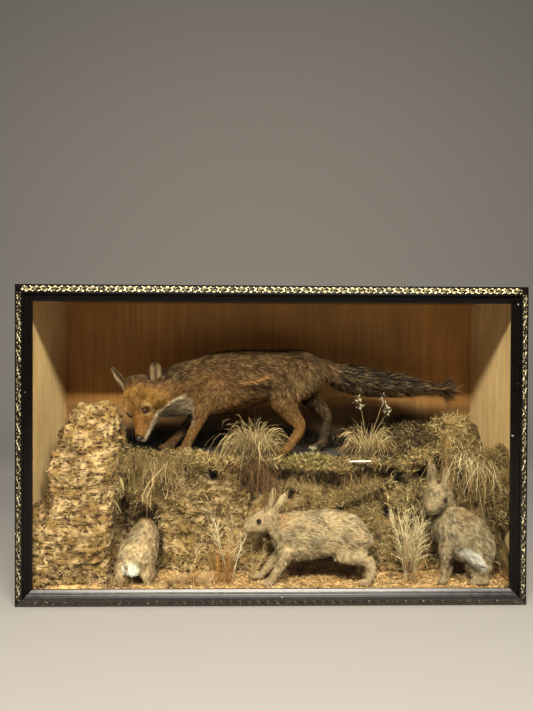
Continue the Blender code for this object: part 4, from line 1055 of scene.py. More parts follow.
def head_markings(points, soft, fine, colour, grey):
    """Golden face, orange muzzle, pale lips and throat, rings round the eyes."""
    t, s, u = head_places(points)
    s = np.abs(s)
    near_head = eased(0.150 - gap_to(points, HEAD_C), 0.0, 0.03)
    edge = -0.031 + 2.4 * s ** 2 + 0.003 * soft
    face = eased(t - edge, 0.0, 0.010) * near_head
    below = eased(-0.052 - u, 0.0, 0.012)
    face = face * (1 - below * (1 - eased(t, 0.02, 0.05)))
    colour = blend_in(colour, GOLD_FACE, face)
    grey = grey * (1 - 0.45 * face)
    muzzle = face * eased(t, 0.034, 0.060)
    colour = blend_in(colour, ORANGE, 0.85 * muzzle)
    between = face * eased(0.022 - s, 0.0, 0.012) * eased(t, 0.0, 0.04)
    colour = blend_in(colour, tint("#865524"), 0.55 * between)
    # dark mark from the eye's corner down the muzzle
    tear = face * np.exp(-((s - 0.026 + 0.10 * (t - 0.05)) / 0.005) ** 2) \
        * eased(t, 0.038, 0.050) * eased(0.092 - t, 0.0, 0.02) \
        * eased(u, -0.002, 0.008)
    colour = blend_in(colour, tint("#5E3214"), 0.55 * tear)
    lip = np.interp(t, [-.03, 0, .03, .05, .08, .11],
                    [-.040, -.022, -.003, -.007, -.009, -.010])
    under = eased(lip - u + 0.0015 * fine, 0.0, 0.005) \
        * eased(t, -0.034, -0.016) * near_head
    wool = eased(lip - u + 0.005 * fine, 0.007, 0.014) * (1 - eased(t, 0.030, 0.050))
    pure = AGED_WHITE * (1 + 0.30 * eased(t, 0.080, 0.095))[:, None]
    along = 0.92 - 0.45 * np.exp(-((t - 0.064) / 0.016) ** 2)
    colour = blend_in(colour, pure, along * under * (1 - wool) ** 2)
    colour = blend_in(colour, tint("#918069"), under * wool)
    grey = grey * (1 - 0.8 * under) + 0.5 * under * wool
    # eye surround: dark rims with a pale ring outside
    gap = np.sqrt((t - EYE_T) ** 2 + (s - EYE_S - 0.004) ** 2 + (u - EYE_U) ** 2)
    colour = blend_in(colour, CREAM, 0.55 * face
                      * np.exp(-((gap - 0.0165) / 0.0035) ** 2))
    colour = blend_in(colour, tint("#5E3A1C"), 0.8 * face
                      * eased(0.0135 - gap, 0.0, 0.002))
    # nose surround
    tip = eased(t, 0.100, 0.106) * eased(u, -0.016, -0.010)
    return blend_in(colour, SOOT, 0.8 * tip * near_head), grey


def fox_markings(points):
    """Colour of the coat's outer hair, and how grizzled it is there."""
    soft = value_noise(points, 0.020, 71)
    fine = value_noise(points, 0.007, 72)
    colour, grey = body_markings(points, soft, fine)
    colour, grey = head_markings(points, soft, fine, colour, grey)
    return colour * (1 + 0.12 * soft[:, None]), grey


def banded(colour, grey, place, rng, pale, dark, lock=0.0030):
    """Root, middle and tip colour of each tuft: underfur, band, guard tip."""
    count = len(colour)
    tone = 0.65 * value_noise(place, lock, 91) + 0.35 * value_noise(
        place, lock * 2.1, 92)
    bright = np.clip(1 + (0.22 + 0.42 * grey) * tone
                     + 0.30 * (rng.random(count) - 0.5), 0.25, 2.0)[:, None]
    kind = 0.5 - 0.62 * value_noise(place, lock, 93) + 0.55 * (rng.random(count) - 0.5)
    root = colour * 0.42
    mid = colour * bright
    tip = colour * bright * 1.15
    light = (kind < grey * 0.36)[:, None]
    black = (kind > 1 - grey * 0.42)[:, None]
    mid = np.where(light, colour * 0.6 + pale * 0.3, mid)
    tip = np.where(light, pale * (0.50 + 0.40 * bright), tip)
    mid = np.where(black, mid * 0.55, mid)
    tip = np.where(black, dark, tip)
    return np.stack([root, mid, tip], 1)


def fox_colours(root, normal, rng):
    """Colours of the fox's tufts."""
    colour, grey = fox_markings(root)
    return banded(colour, grey, root, rng, tint("#A2855A"), SOOT)


# each paw: x of the grooves between its toes, x of its claws, and y
FOX_PAWS = ((-.268, -.2944, -.030), (-.326, -.3524, .070),
            (.030, .0025, -.024), (.146, .1185, .064))
FOX_FLESH = ["fox_head", "fox_neck", "fox_trunk", "fox_tail",
             "fox_foreleg_left", "fox_foreleg_right",
             "fox_hindleg_left", "fox_hindleg_right"]


def fox_skin():
    """One skin for the fox's flesh, under its coat."""
    mesh = rebuilt(FOX_FLESH, 0.0038, 7, grow=0.0004)
    shrink_by_coat(mesh, FOX_BONES)
    points, normals = vertex_arrays(mesh)
    t, s, u = head_places(points)
    # hollow in front of each eye, and a bridge down the muzzle
    for side in (-1, 1):
        gap = np.sqrt(((t - 0.046) / 0.012) ** 2 + ((s - side * 0.024) / 0.009) ** 2
                      + ((u - 0.018) / 0.012) ** 2)
        points -= normals * (0.0026 * np.exp(-gap ** 2))[:, None]
        brow = np.sqrt(((t - 0.026) / 0.010) ** 2
                       + ((s - side * 0.034) / 0.012) ** 2
                       + ((u - 0.036) / 0.008) ** 2)
        points += normals * (0.0030 * np.exp(-brow ** 2))[:, None]
    # toes, 8.5 mm apart
    x, y, z = points.T
    for paw_x, _, paw_y in FOX_PAWS:
        over = np.exp(-((x - paw_x + 0.022) / 0.014) ** 2) * (z < 0.412) \
            * (np.abs(y - paw_y) < 0.024)
        groove = np.abs(np.sin((y - paw_y) * math.pi / 0.0085))
        points += normals * (over * 0.0022 * (groove - 0.55))[:, None]
    move_vertices(mesh, points)
    shade = (0.62 + 0.10 * value_noise(points, 0.004, 73))[:, None]
    paint_mesh(mesh, fox_markings(points)[0] * shade)
    skin = piece("fox_skin", mesh, SKIN, "fox_grizzle", *FOX_FLESH)
    unwrap(skin)
    return skin


# old combed fur has a faint gloss; the dyed skin and underfur below it are duller
FUR = painted("animal_fur", 0.75, 1.5, 0.10, 0.0)
SKIN = painted("fox_skin_underfur", 0.85, 1.2, 0.25, 0.5)
FOX = fox_skin()
EYES = [on_head(EYE_T, side * EYE_S, EYE_U) for side in (1, -1)]


def clear_of_face_parts(points, facing):
    """No tufts over the eyes or the nose."""
    share = np.ones(len(points))
    for centre in EYES:
        share *= eased(gap_to(points, centre), 0.0100, 0.0125)
    t, _, u = head_places(points)
    nose = (t > 0.103) & (u > -0.016)
    return share * np.where(nose, 0.0, 1.0)


grow_coat("fox_coat", FOX.data, 234000, FOX_BONES,
          fox_colours, np.random.default_rng(3), FUR, "fox_grizzle",
          keep=clear_of_face_parts, pieces=6)


# ------------------------------------------------- ears, eyes and nose
# look of an ear: inside, its edge, rim, back, base of the back, waist, slot
FOX_EAR = ("#80694C", "#4A3826", "#160E08", "#160E08", "#3E2612", 1.0, "fox_dark")
RABBIT_EAR = ("#C2A47E", "#9C7E5A", "#5A432A", "#7E6846", "#A88C62", 0.5, "rabbit_coat")


def cupped_ear(name, base, tip, face, width, blunt, seed, look, *replaced):
    """A cupped ear: dark behind and at the rim, pale and hairy inside."""
    middle, edge, rim, back_code, base_code, waist, slot = look
    base, tip, face = Vector(base), Vector(tip), Vector(face).normalized()
    axis = (tip - base).normalized()
    face = (face - axis * face.dot(axis)).normalized()
    side = axis.cross(face).normalized()
    bm = bmesh.new()
    bmesh.ops.create_grid(bm, x_segments=22, y_segments=22, size=0.5)
    for vert in bm.verts:
        turn = math.pi * (vert.co.x + 0.5)
        f = (vert.co.y + 0.5) * 1.10 - 0.10
        rise = max(f, 0.0)
        half = width * (waist + (1.25 - waist) * math.sin(math.pi * rise)) \
            * (1 - min(rise, 1.0) ** blunt) + 0.0016
        depth = half * (0.95 - 0.55 * rise)
        centre = base.lerp(tip, f) - face * (0.010 * f * f)
        ruffle = 1 + 0.04 * math.sin(9 * turn) * (1 - rise)
        vert.co = centre + side * (half * math.cos(turn) * ruffle) \
            - face * (depth * math.sin(turn))
    thicken(bm, 0.0016)
    mesh = mesh_of(name, bm)
    span = np.array(tip - base)
    front = np.array(face)

    def colour_of(points, normals):
        """Colour at a point of the ear, and how far inside it is."""
        up = (points - np.array(base)) @ span / (span @ span)
        out = np.abs((points - np.array(base)) @ np.array(side)) / width
        inside = eased(normals @ front, -0.10, 0.35)
        pale = blend_in(plain(tint(middle), len(points)),
                        tint(edge), eased(-np.abs(out - 0.1), -0.45, 0.0))
        border = np.maximum(eased(up, 0.84, 0.98), eased(out, 0.86, 1.08))
        pale = blend_in(pale, tint(rim), border * 0.85)
        back = blend_in(plain(tint(back_code), len(points)),
                        tint(base_code), 1 - eased(up, 0.0, 0.35))
        return blend_in(back, pale, inside), inside

    points, normals = vertex_arrays(mesh)
    paint_mesh(mesh, colour_of(points, normals)[0] * 0.8)
    ear = piece(name + "_shell", mesh, SKIN, slot, *replaced)
    unwrap(ear)

    def ear_colours(root, normal, rng):
        colour, inside = colour_of(root, normal)
        return banded(colour, 0.25 * inside, root, rng, CREAM, SOOT)

    bones = [(base + face * 0.01, tip + face * 0.01, 8, 0.9),
             (base - face * 0.02, tip - face * 0.02, 6, 0.7)]
    grow_coat(name + "_coat", ear.data, 5200 if replaced else 3200, bones,
              ear_colours, np.random.default_rng(seed), FUR, slot, thin=1.1)


# name, foot, tip, the way it faces, half width, and how blunt its tip is
EAR_ROWS = (("fox_ear_left", (-0.340, -0.046, 0.578), (-0.346, -0.048, 0.664),
             (0.16, -0.95, -0.20), 0.0165, 7.0),
            ("fox_ear_right", (-0.436, -0.022, 0.584), (-0.487, -0.020, 0.648),
             (-0.36, -0.88, -0.30), 0.0112, 2.2))
for number, ear_row in enumerate(EAR_ROWS):
    cupped_ear(*ear_row, 20 + number, FOX_EAR, ear_row[0])


def tube_mesh(name, paths, sides=1):
    """Tapering round strands: each path is a list of (point, radius)."""
    curve = bpy.data.curves.new(name, "CURVE")
    curve.dimensions = "3D"
    curve.bevel_depth = 1.0
    curve.bevel_resolution = sides
    curve.use_fill_caps = True
    for path in paths:
        spline = curve.splines.new("POLY")
        spline.points.add(len(path) - 1)
        for point, (place, radius) in zip(spline.points, path):
            point.co = (*place, 1)
            point.radius = radius
    mesh = evaluated(in_scene(name, curve))
    bpy.data.curves.remove(curve)
    mesh.name = name
    return mesh


def eye_axis(mesh, centre, reach):
    """The way an eye looks: the mean normal of the skin round it."""
    points, normals = vertex_arrays(mesh)
    return Vector(normals[gap_to(points, centre) < reach].mean(0)).normalized()


def glass_eye(name, centre, axis, radius, material, slot, *replaced):
    """An eyeball, turned so that its pole looks along the axis."""
    bm = bmesh.new()
    bmesh.ops.create_uvsphere(bm, u_segments=28, v_segments=20, radius=radius)
    turn = axis.to_track_quat("Z", "Y").to_matrix().to_4x4()
    bmesh.ops.transform(bm, verts=bm.verts, matrix=Matrix.Translation(centre) @ turn)
    in_order(bm)
    piece(name, mesh_of(name, bm), material, slot, *replaced)


def eyelids(name, centre, axis, long_way, radius, opening, outer, material):
    """Two lids as one almond ring of skin lying on the eyeball."""
    across = (long_way - axis * long_way.dot(axis)).normalized()
    upward = axis.cross(across)
    bm = bmesh.new()
    bmesh.ops.create_grid(bm, x_segments=40, y_segments=5, size=0.5)
    for vert in bm.verts:
        turn = 2 * math.pi * (vert.co.x + 0.5)
        out = vert.co.y + 0.5
        c, s = math.cos(turn), math.sin(turn)
        inner = 1 / math.hypot(c / opening[0], s / opening[1])
        inner *= 1 + 0.10 * abs(c) ** 10
        reach = inner + (outer - inner) * out
        lift = radius + 0.0010 * math.sin(math.pi * min(out * 1.6, 1.0))
        height = math.sqrt(max(lift ** 2 - reach ** 2, 1e-8))
        vert.co = centre + axis * height + across * (reach * c) + upward * (reach * s)
    bmesh.ops.remove_doubles(bm, verts=bm.verts, dist=1e-5)
    thicken(bm, 0.0007)
    piece(name, mesh_of(name, bm), material, "fox_dark")


def nose_pad():
    """A bare nose with two nostrils, a comma beside each, and a cleft."""
    bm = bmesh.new()
    bmesh.ops.create_uvsphere(bm, u_segments=32, v_segments=22, radius=1.0)
    for vert in bm.verts:
        a, c, s = vert.co.x * 0.0085, vert.co.y * 0.0080, vert.co.z * 0.0100
        for way in (-1, 1):
            gap = math.hypot((s - way * 0.0046) / 0.0021, (c - 0.0006) / 0.0019)
            comma = math.hypot((s - way * 0.0075) / 0.0022, (c + 0.0008) / 0.0010)
            pit = 0.0030 * math.exp(-gap ** 2) + 0.0020 * math.exp(-comma ** 2)
            a -= pit if a > 0 else 0
        a -= 0.0009 * math.exp(-(s / 0.0007) ** 2) if a > 0 and c < 0 else 0
        vert.co = on_head(0.1065 + a, s, -0.0045 + c)
    bmesh.ops.recalc_face_normals(bm, faces=bm.faces)
    in_order(bm)
    piece("fox_nose_pad", mesh_of("fox_nose_pad", bm),
          moist_skin("nose_leather", "#2C1D14", 0.60, 0.8), "fox_nose_skin",
          "fox_nose")


def fox_face():
    """Eyes with their lids, nose and mouth line."""
    rim = moist_skin("eyelid_skin", "#21140C", 0.5, 0.9)
    for side, label in ((1, "left"), (-1, "right")):
        centre = on_head(EYE_T, side * EYE_S, EYE_U)
        axis = eye_axis(FOX.data, centre, 0.018)
        glass = eye_glass("fox_eye_glass_" + label, centre, axis,
                          "#7A4E1E", "#4A2A0E", EYE_R)
        glass_eye("fox_eyeball_" + label, centre, axis, EYE_R, glass,
                  "fox_eye_glass", "fox_eye_" + label)
        eyelids("fox_eyelids_" + label, centre, axis, AHEAD, 0.0093,
                (0.0066, 0.0042), 0.0085, rim)
    nose_pad()
    # the mouth line runs back from under the nose along each lip
    body = BVHTree.FromObject(FOX, bpy.context.evaluated_depsgraph_get())
    lines = []
    for side in (-1, 1):
        path = []
        for k in range(9):
            t = 0.107 - k * 0.0075
            low = -0.0215 - 0.010 * (k / 8) ** 1.5
            hit = body.ray_cast(on_head(t, side * 0.08, low), -SIDE * side)[0]
            if hit:
                path.append((hit + SIDE * side * 0.0003, 0.0011 - 0.00004 * k))
        lines.append(path)
    piece("fox_mouth_line", tube_mesh("fox_mouth_line", lines), rim, "fox_nose_skin")
    horn = moist_skin("dark_horn", "#2A1F18", 0.45, 1.5)
    fox_whiskers(body, horn)
    fox_claws(horn)


def fox_whiskers(body, horn):
    """Two rows of four fine whiskers on each cheek."""
    whiskers = []
    rng = np.random.default_rng(8)
    for side in (-1, 1):
        for k in range(8):
            t = 0.082 + 0.006 * (k % 4)
            up = -0.012 + 0.006 * (k // 4)
            hit = body.ray_cast(on_head(t, side * 0.08, up), -SIDE * side)[0]
            if not hit:
                continue
            way = (SIDE * side * 0.8 - AHEAD * 0.55
                   + CROWN * float(rng.normal() * 0.2)).normalized()
            size = 0.030 + 0.018 * float(rng.random())
            sag = Vector((0, 0, -0.006))
            whiskers.append([(hit + way * (size * f) + sag * f * f,
                              0.00022 * (1 - 0.8 * f))
                             for f in (0.0, 0.35, 0.7, 1.0)])
    piece("fox_whiskers", tube_mesh("fox_whiskers", whiskers, 0), horn, "fox_nose_skin")


def fox_claws(horn):
    """Four claws to each paw, the outer two set back."""
    claws = []
    for _, claw_x, paw_y in FOX_PAWS:
        for dy, back in ((-.0125, .006), (-.0045, 0), (.0045, 0), (.0125, .006)):
            root = Vector((claw_x + 0.005 + back, paw_y + dy, LEDGE_Z + 0.0065))
            claws.append([(root, 0.0013),
                          (root + Vector((-0.005, 0, 0.0005)), 0.0011),
                          (root + Vector((-0.0095, 0, -0.0035)), 0.0003)])
    piece("fox_claws", tube_mesh("fox_claws", claws), horn, "fox_nose_skin")


fox_face()


# -------------------------------------------------------------- rabbits
FAWN, GREYISH, RUFOUS = tint("#C7AC82"), tint("#8C7A5C"), tint("#B5803F")
MILK = tint("#EFE7D8")
RABBIT_EYE_R = 0.0070


def rabbit_guides(kind):
    """Lie of each rabbit's coat: from, to, hair length and coat depth in mm."""
    if kind == "middle":
        rows = [((-.092, -.121, .183), (-.012, -.116, .258), 8, 1.5),
                ((-.060, -.148, .192), (.012, -.152, .200), 13, 3.5),
                ((-.060, -.088, .192), (.012, -.078, .200), 13, 3.5),
                ((.003, -.132, .244), (.040, -.134, .299), 5, .5),
                ((-.008, -.100, .246), (.004, -.096, .304), 5, .5),
                ((.012, -.112, .246), (.100, -.112, .243), 18, 6),
                ((.100, -.112, .246), (.235, -.112, .236), 19, 7),
                ((.240, -.112, .226), (.284, -.112, .150), 17, 6),
                ((.010, -.156, .185), (.250, -.162, .160), 20, 7),
                ((.010, -.068, .185), (.250, -.062, .160), 20, 7),
                ((.000, -.116, .180), (.022, -.116, .105), 20, 8),
                ((.030, -.112, .100), (.200, -.112, .105), 22, 9)]
        for side, dx in ((-.026, 0.0), (.024, -.028)):
            rows += [((.042, -.112 + side, .130), (-.002 + dx, -.112 + side, .050),
                      12, 4),
                     ((.004 + dx, -.112 + side, .044),
                      (-.034 + dx, -.112 + side, .040), 7, 1.5)]
        for side, dx in ((-.030, 0.0), (.026, -.016)):
            rows += [((.180 + dx, -.112 + side, .120),
                      (.266 + dx, -.112 + side, .112), 13, 4.5),
                     ((.274 + dx, -.112 + side, .106),
                      (.280 + dx, -.112 + side, .056), 10, 3),
                     ((.286 + dx, -.112 + side, .044),
                      (.243 + dx, -.112 + side, .040), 8, 2)]
    elif kind == "left":
        rows = [((-.376, -.020, .200), (-.386, -.150, .118), 19, 6),
                ((-.372, -.070, .216), (-.384, -.140, .140), 19, 6),
                ((-.330, -.040, .135), (-.338, -.140, .080), 18, 6),
                ((-.436, -.040, .135), (-.436, -.140, .080), 18, 6),
                ((-.388, -.060, .050), (-.388, -.140, .055), 15, 4),
                ((-.392, -.146, .102), (-.390, -.174, .080), 16, 5)]
        for side in (-.036, .036):
            rows.append(((-.388 + side, -.120, .095),
                         (-.388 + side * 1.1, -.140, .048), 11, 3.5))
    else:
        rows = [((.442, -.161, .246), (.476, -.112, .318), 8, 1.5),
                ((.450, -.152, .240), (.505, -.118, .250), 13, 3.5),
                ((.438, -.146, .246), (.455, -.085, .265), 13, 3.5),
                ((.480, -.105, .316), (.518, -.085, .272), 13, 4),
                ((.464, -.108, .308), (.460, -.108, .378), 5, .5),
                ((.500, -.088, .300), (.513, -.084, .364), 5, .5),
                ((.515, -.105, .262), (.590, -.108, .215), 18, 6),
                ((.590, -.108, .215), (.640, -.112, .110), 19, 6),
                ((.500, -.158, .215), (.620, -.164, .115), 19, 6),
                ((.500, -.062, .215), (.620, -.056, .115), 19, 6),
                ((.462, -.125, .225), (.482, -.128, .130), 19, 6),
                ((.490, -.110, .130), (.570, -.110, .085), 18, 6),
                ((.498, -.128, .160), (.491, -.132, .060), 11, 3.5),
                ((.528, -.085, .135), (.521, -.084, .056), 11, 3.5),
                ((.497, -.135, .044), (.468, -.139, .040), 7, 1.5),
                ((.520, -.084, .044), (.500, -.088, .040), 7, 1.5),
                ((.585, -.136, .125), (.602, -.140, .055), 13, 4),
                ((.624, -.140, .044), (.556, -.142, .040), 8, 2),
                ((.624, -.084, .044), (.556, -.086, .040), 8, 2),
                ((.550, -.154, .126), (.592, -.160, .088), 18, 6)]
    return rows


# two ends of each tail and its reach, and how white it is
RABBIT_TAILS = {"middle": ((.284, -.106, .172), (.288, -.104, .150), .016, 0.25),
                "left": ((-.394, -.150, .094), (-.390, -.172, .086), .021, 1.0),
                "right": ((.548, -.156, .126), (.592, -.162, .090), .019, 1.0)}
RABBIT_NAPES = {"middle": (.034, -.140, .228), "left": (-.374, -.055, .205),
                "right": (.545, -.140, .240)}
# each rabbit's colour scaled lighter or darker: painted light and shade, the right rabbit
# darkest
RABBIT_PAINTED_LIGHT = {"left": 1.15, "middle": 0.97, "right": 0.62}


def rabbit_markings(points, kind):
    """Colour of a rabbit's outer hair, and how grizzled it is there."""
    soft = value_noise(points, 0.024, 81)
    colour = blend_in(plain(FAWN, len(points)), GREYISH,
                      0.75 * eased(soft + 0.5 * value_noise(
                          points, 0.011, 82), -0.3, 0.8))
    low = eased(0.125 - points[:, 2] + 0.008 * soft, 0.0, 0.05)
    colour = blend_in(colour, tint("#C2A67E"), 0.7 * low)
    nape = gap_to(points, RABBIT_NAPES[kind])
    colour = blend_in(colour, RUFOUS, 0.7 * np.exp(-(nape / 0.022) ** 2))
    start, end, reach, white = RABBIT_TAILS[kind]
    tail = from_line(points, start, end) + 0.003 * soft
    colour = blend_in(colour, MILK, white * (1 - eased(tail, reach, reach * 1.35)))
    grey = np.full(len(points), 0.75) * eased(tail, reach, reach * 1.4)
    if kind == "left":
        spot = np.linalg.norm((points - np.array((-.406, -.172, .098)))
                              * np.array((1, .3, 1)), axis=1)
        colour = blend_in(colour, tint("#7A4E2A"), np.exp(-(spot / 0.008) ** 4))
    colour = colour * RABBIT_PAINTED_LIGHT[kind]
    return np.clip(colour, 0, 0.9), grey * (1 - 0.4 * low)


def blunted(points, tip, back, reach, keep):
    """Draws the end of a muzzle in and rounds it off."""
    axis = unit(np.array([np.array(back) - np.array(tip)]))[0]
    along = (points - np.array(tip)) @ axis
    near = gap_to(points, tip) < 3 * reach
    short = np.where(near, np.maximum(reach - along, 0.0), 0.0)
    centre = np.array(tip) + along[:, None] * axis
    swell = (0.30 * eased(short, 0.0, reach * 0.7))[:, None]
    return points + axis * (short * (1 - keep))[:, None] + (points - centre) * swell


def rabbit(kind, count, seed, eyes, ears):
    """Skin, eyes with lids, coat and ears of one rabbit."""
    node = "rabbit_" + kind
    bones = rabbit_guides(kind)
    mesh = rebuilt([node], 0.0036, 4)
    shrink_by_coat(mesh, bones)
    points = vertex_arrays(mesh)[0]
    if kind == "middle":
        points = blunted(points, bones[0][0], bones[0][1], 0.032, 0.60)
        move_vertices(mesh, points)
    elif kind == "left":
        # the back narrows towards the hidden shoulders
        upper = eased(points[:, 2], 0.125, 0.215)
        points[:, 0] += upper * (0.010 - 0.38 * (points[:, 0] + 0.378))
        move_vertices(mesh, points)
    paint_mesh(mesh, rabbit_markings(points, kind)[0] * 0.62)
    skin = piece(node + "_skin", mesh, SKIN, "rabbit_coat", node)
    unwrap(skin)
    centres = []
    rim = moist_skin("rabbit_eyelid_" + kind, "#3A2A1C", 0.55, 0.8)
    for label, place in eyes:
        axis = eye_axis(mesh, place, 0.014)
        centre = Vector(place) - axis * 0.0036
        glass = eye_glass(node + "_eye_glass_" + label, centre, axis,
                          "#24140A", "#120904", RABBIT_EYE_R)
        glass_eye(node + "_eye_" + label, centre, axis, RABBIT_EYE_R, glass,
                  "fox_eye_glass")
        eyelids(node + "_eyelids_" + label, centre, axis, Vector((1, 0, -0.2)),
                0.0074, (0.0060, 0.0048), 0.0070, rim)
        centres.append(np.array(centre))

    def clear_of_eyes(points, facing):
        share = np.ones(len(points))
        for centre in centres:
            share *= eased(gap_to(points, centre), 0.0078, 0.0098)
        return share

    def colours(root, normal, rng):
        colour, grey = rabbit_markings(root, kind)
        # painted shade: the right rabbit's pale tips are dimmed too
        pale = tint("#E8D8B6") * (0.75 if kind == "right" else 1.0)
        return banded(colour, grey, root, rng, pale, tint("#2E2113"), lock=0.0048)

    grow_coat(node + "_coat", mesh, count, bones,
              colours, np.random.default_rng(seed), FUR, "rabbit_coat",
              keep=clear_of_eyes, ruffle=0.6)
    for number, row in enumerate(ears):
        cupped_ear(f"{node}_ear_{number + 1}", *row, seed + number, RABBIT_EAR)


rabbit("middle", 31000, 31,
       (("left", (-.038, -.146, .219)), ("right", (-.038, -.088, .219))),
       (((.002, -.133, .236), (.041, -.135, .300), (-.35, -1.0, .10), .0115, 3.0),
        ((-.008, -.100, .238), (.005, -.096, .306), (-.55, -1.0, .0), .0105, 3.0)))
rabbit("left", 23000, 34, (), ())
rabbit("right", 31000, 37,
       (("left", (.487, -.152, .280)), ("right", (.430, -.121, .284))),
       (((.463, -.110, .300), (.460, -.110, .380), (-.25, -1.0, .0), .0120, 3.0),
        ((.500, -.090, .292), (.514, -.086, .367), (.05, -1.0, .0), .0115, 3.0)))


# --------------------------------------------------------------- plants
# dried grass keeps a little of its wax; dried and dyed moss is dusty and dull
STEMS = painted("dried_grass", 0.7, 3.0, 0.15, 0.0)
TURF = painted("dried_moss", 0.85, 2.0, 0.22, 0.0)
DOWN = np.array([0.0, 0.0, -1.0])
DRY, HAY, DARK_DRY = tint("#CDB688"), tint("#96794A"), tint("#46361C")
RUST_DRY, ROOT_BROWN = tint("#8E5A2A"), tint("#3A2412")


def kept_in_case(path):
    """Turns back what would pass through glass, walls or floor."""
    path[..., 0] = np.clip(path[..., 0], -INNER_X + 0.003, INNER_X - 0.003)
    past = PLANT_FRONT_Y - path[..., 1]
    path[..., 1] = np.where(past > 0, PLANT_FRONT_Y + 0.35 * np.minimum(past, 0.03),
                            path[..., 1])
    path[..., 1] = np.minimum(path[..., 1], PLANT_BACK_Y)
    path[..., 2] = np.maximum(path[..., 2], PLANT_LOW_Z)
    return path


def mixed_colours(count, rng, first, second, spread=0.25):
    """A colour between the two for each blade, some lighter, some darker."""
    share = rng.random(count)
    colour = blend_in(plain(first, count), second, share)
    return colour * (1 + spread * (rng.random(count) - 0.5) * 2)[:, None]


def blades(name, roots, lean, length, wide, sag, colours, rng, curl=0.10,
           arch=3.0, stations=8):
    """Bending, wavy grass blades as one piece."""
    count = len(roots)
    f = np.linspace(0, 1, stations)
    side = unit(np.cross(lean, DOWN) + 0.3 * rng.normal(size=(count, 3)))
    phase = rng.random((count, 1)) * 6.28
    wave = np.sin(f[None] * (3.0 + 5.0 * rng.random((count, 1))) + phase) \
        - np.sin(phase)
    amount = curl * rng.normal(size=(count, 1)) * length[:, None] * f[None]
    path = roots[:, None] + lean[:, None] * (length[:, None] * f[None])[:, :, None] \
        + side[:, None] * (wave * amount)[:, :, None] \
        + DOWN * (sag[:, None] * length[:, None] * f[None] ** arch)[:, :, None]
    half = wide[:, None] / 2 * (1 - 0.55 * f[1:])[None]
    across = unit(side + rng.normal(size=(count, 3)) * 0.5)
    # painted shade: each blade darker towards its root
    shade = colours[:, None] * (0.45 + 0.65 * f ** 0.7)[None, :, None]
    piece(name, ribbons(name, kept_in_case(path), half, across, shade), STEMS,
          "rock_moss")


def tussock(name, centre, reach, count, size, fan, sag, first, second, seed,
            wide=0.0019, arch=3.0, curl=0.08):
    """A tuft of blades that spring from one place and arch outwards."""
    rng = np.random.default_rng(seed)
    turn = rng.random(count) * 2 * math.pi
    out = np.sqrt(rng.random(count))
    ring = np.stack([np.cos(turn), np.sin(turn), np.zeros(count)], 1)
    roots = np.array(centre) + ring * out[:, None] * np.array([*reach, 0])
    spread = (fan * (0.25 + 0.75 * out))[:, None]
    lean = unit(ring * spread * np.array([1.0, 0.7, 0]) - DOWN
                + rng.normal(size=(count, 3)) * 0.08)
    length = size * (0.50 + 0.55 * rng.random(count))
    fall = sag * (0.55 + 0.6 * rng.random(count)) * (0.5 + 0.6 * out)
    blades(name, roots, lean, length, wide * (0.6 + 0.8 * rng.random(count)),
           fall, mixed_colours(count, rng, first, second), rng, curl, arch)


def hanging(name, left, right, count, size, seed, first, second, wide=0.0016,
            curl=0.22, bunches=9):
    """Straw in loose bunches that starts outwards over an edge and falls."""
    rng = np.random.default_rng(seed)
    middles = rng.random(bunches)
    f = np.clip(middles[rng.integers(0, bunches, count)]
                + rng.normal(size=count) * 0.5 / bunches, 0, 1)
    roots = np.array(left) * (1 - f)[:, None] + np.array(right) * f[:, None]
    roots += rng.normal(size=(count, 3)) * np.array([0.008, 0.012, 0.007])
    lean = unit(np.stack([rng.normal(size=count) * 0.65,
                          -0.55 - 0.4 * rng.random(count),
                          0.25 + 0.45 * rng.normal(size=count)], 1))
    length = size * (0.30 + 0.85 * rng.random(count) ** 1.5)
    blades(name, roots, lean, length, wide * (0.6 + 0.7 * rng.random(count)),
           1.2 + 0.6 * rng.random(count),
           mixed_colours(count, rng, first, second), rng, curl, 2.0)


def sprig(name, base, stems, size, fan, twigs, seed, first, second, wide=0.0020,
          twig=0.24):
    """Dried stalks, each with short side branches all the way up."""
    rng = np.random.default_rng(seed)
    turn = rng.random(stems) * 2 * math.pi
    ring = np.stack([np.cos(turn), 0.5 * np.sin(turn), np.zeros(stems)], 1)
    lean = unit(ring * (fan * rng.random(stems))[:, None] - DOWN)
    length = size * (0.60 + 0.45 * rng.random(stems))
    roots = np.array(base) + ring * 0.010
    f = 0.22 + 0.76 * rng.random((stems, twigs))
    starts = roots[:, None] + lean[:, None] * (length[:, None] * f)[:, :, None]
    out = rng.normal(size=(stems, twigs, 3)) * np.array([1.0, 0.6, 0.3])
    aim = unit((lean[:, None] * 0.9 + out * 0.55).reshape(-1, 3))
    reach = (size * twig * (1.15 - 0.75 * f)
             * (0.5 + 0.7 * rng.random(f.shape))).ravel()
    every_root = np.concatenate([roots, starts.reshape(-1, 3)])
    every_lean = np.concatenate([lean, aim])
    every_length = np.concatenate([length, reach])
    every_wide = np.concatenate([np.full(stems, wide),
                                 np.full(len(reach), wide * 0.65)])
    count = len(every_root)
    blades(name, every_root, every_lean, every_length, every_wide,
           np.full(count, 0.10), mixed_colours(count, rng, first, second),
           rng, 0.06, 2.0, 6)


tussock("grass_centre", (-0.055, -0.020, 0.383), (0.030, 0.018), 340, 0.235, 0.52,
        1.00, DRY, HAY, 61, arch=2.4)
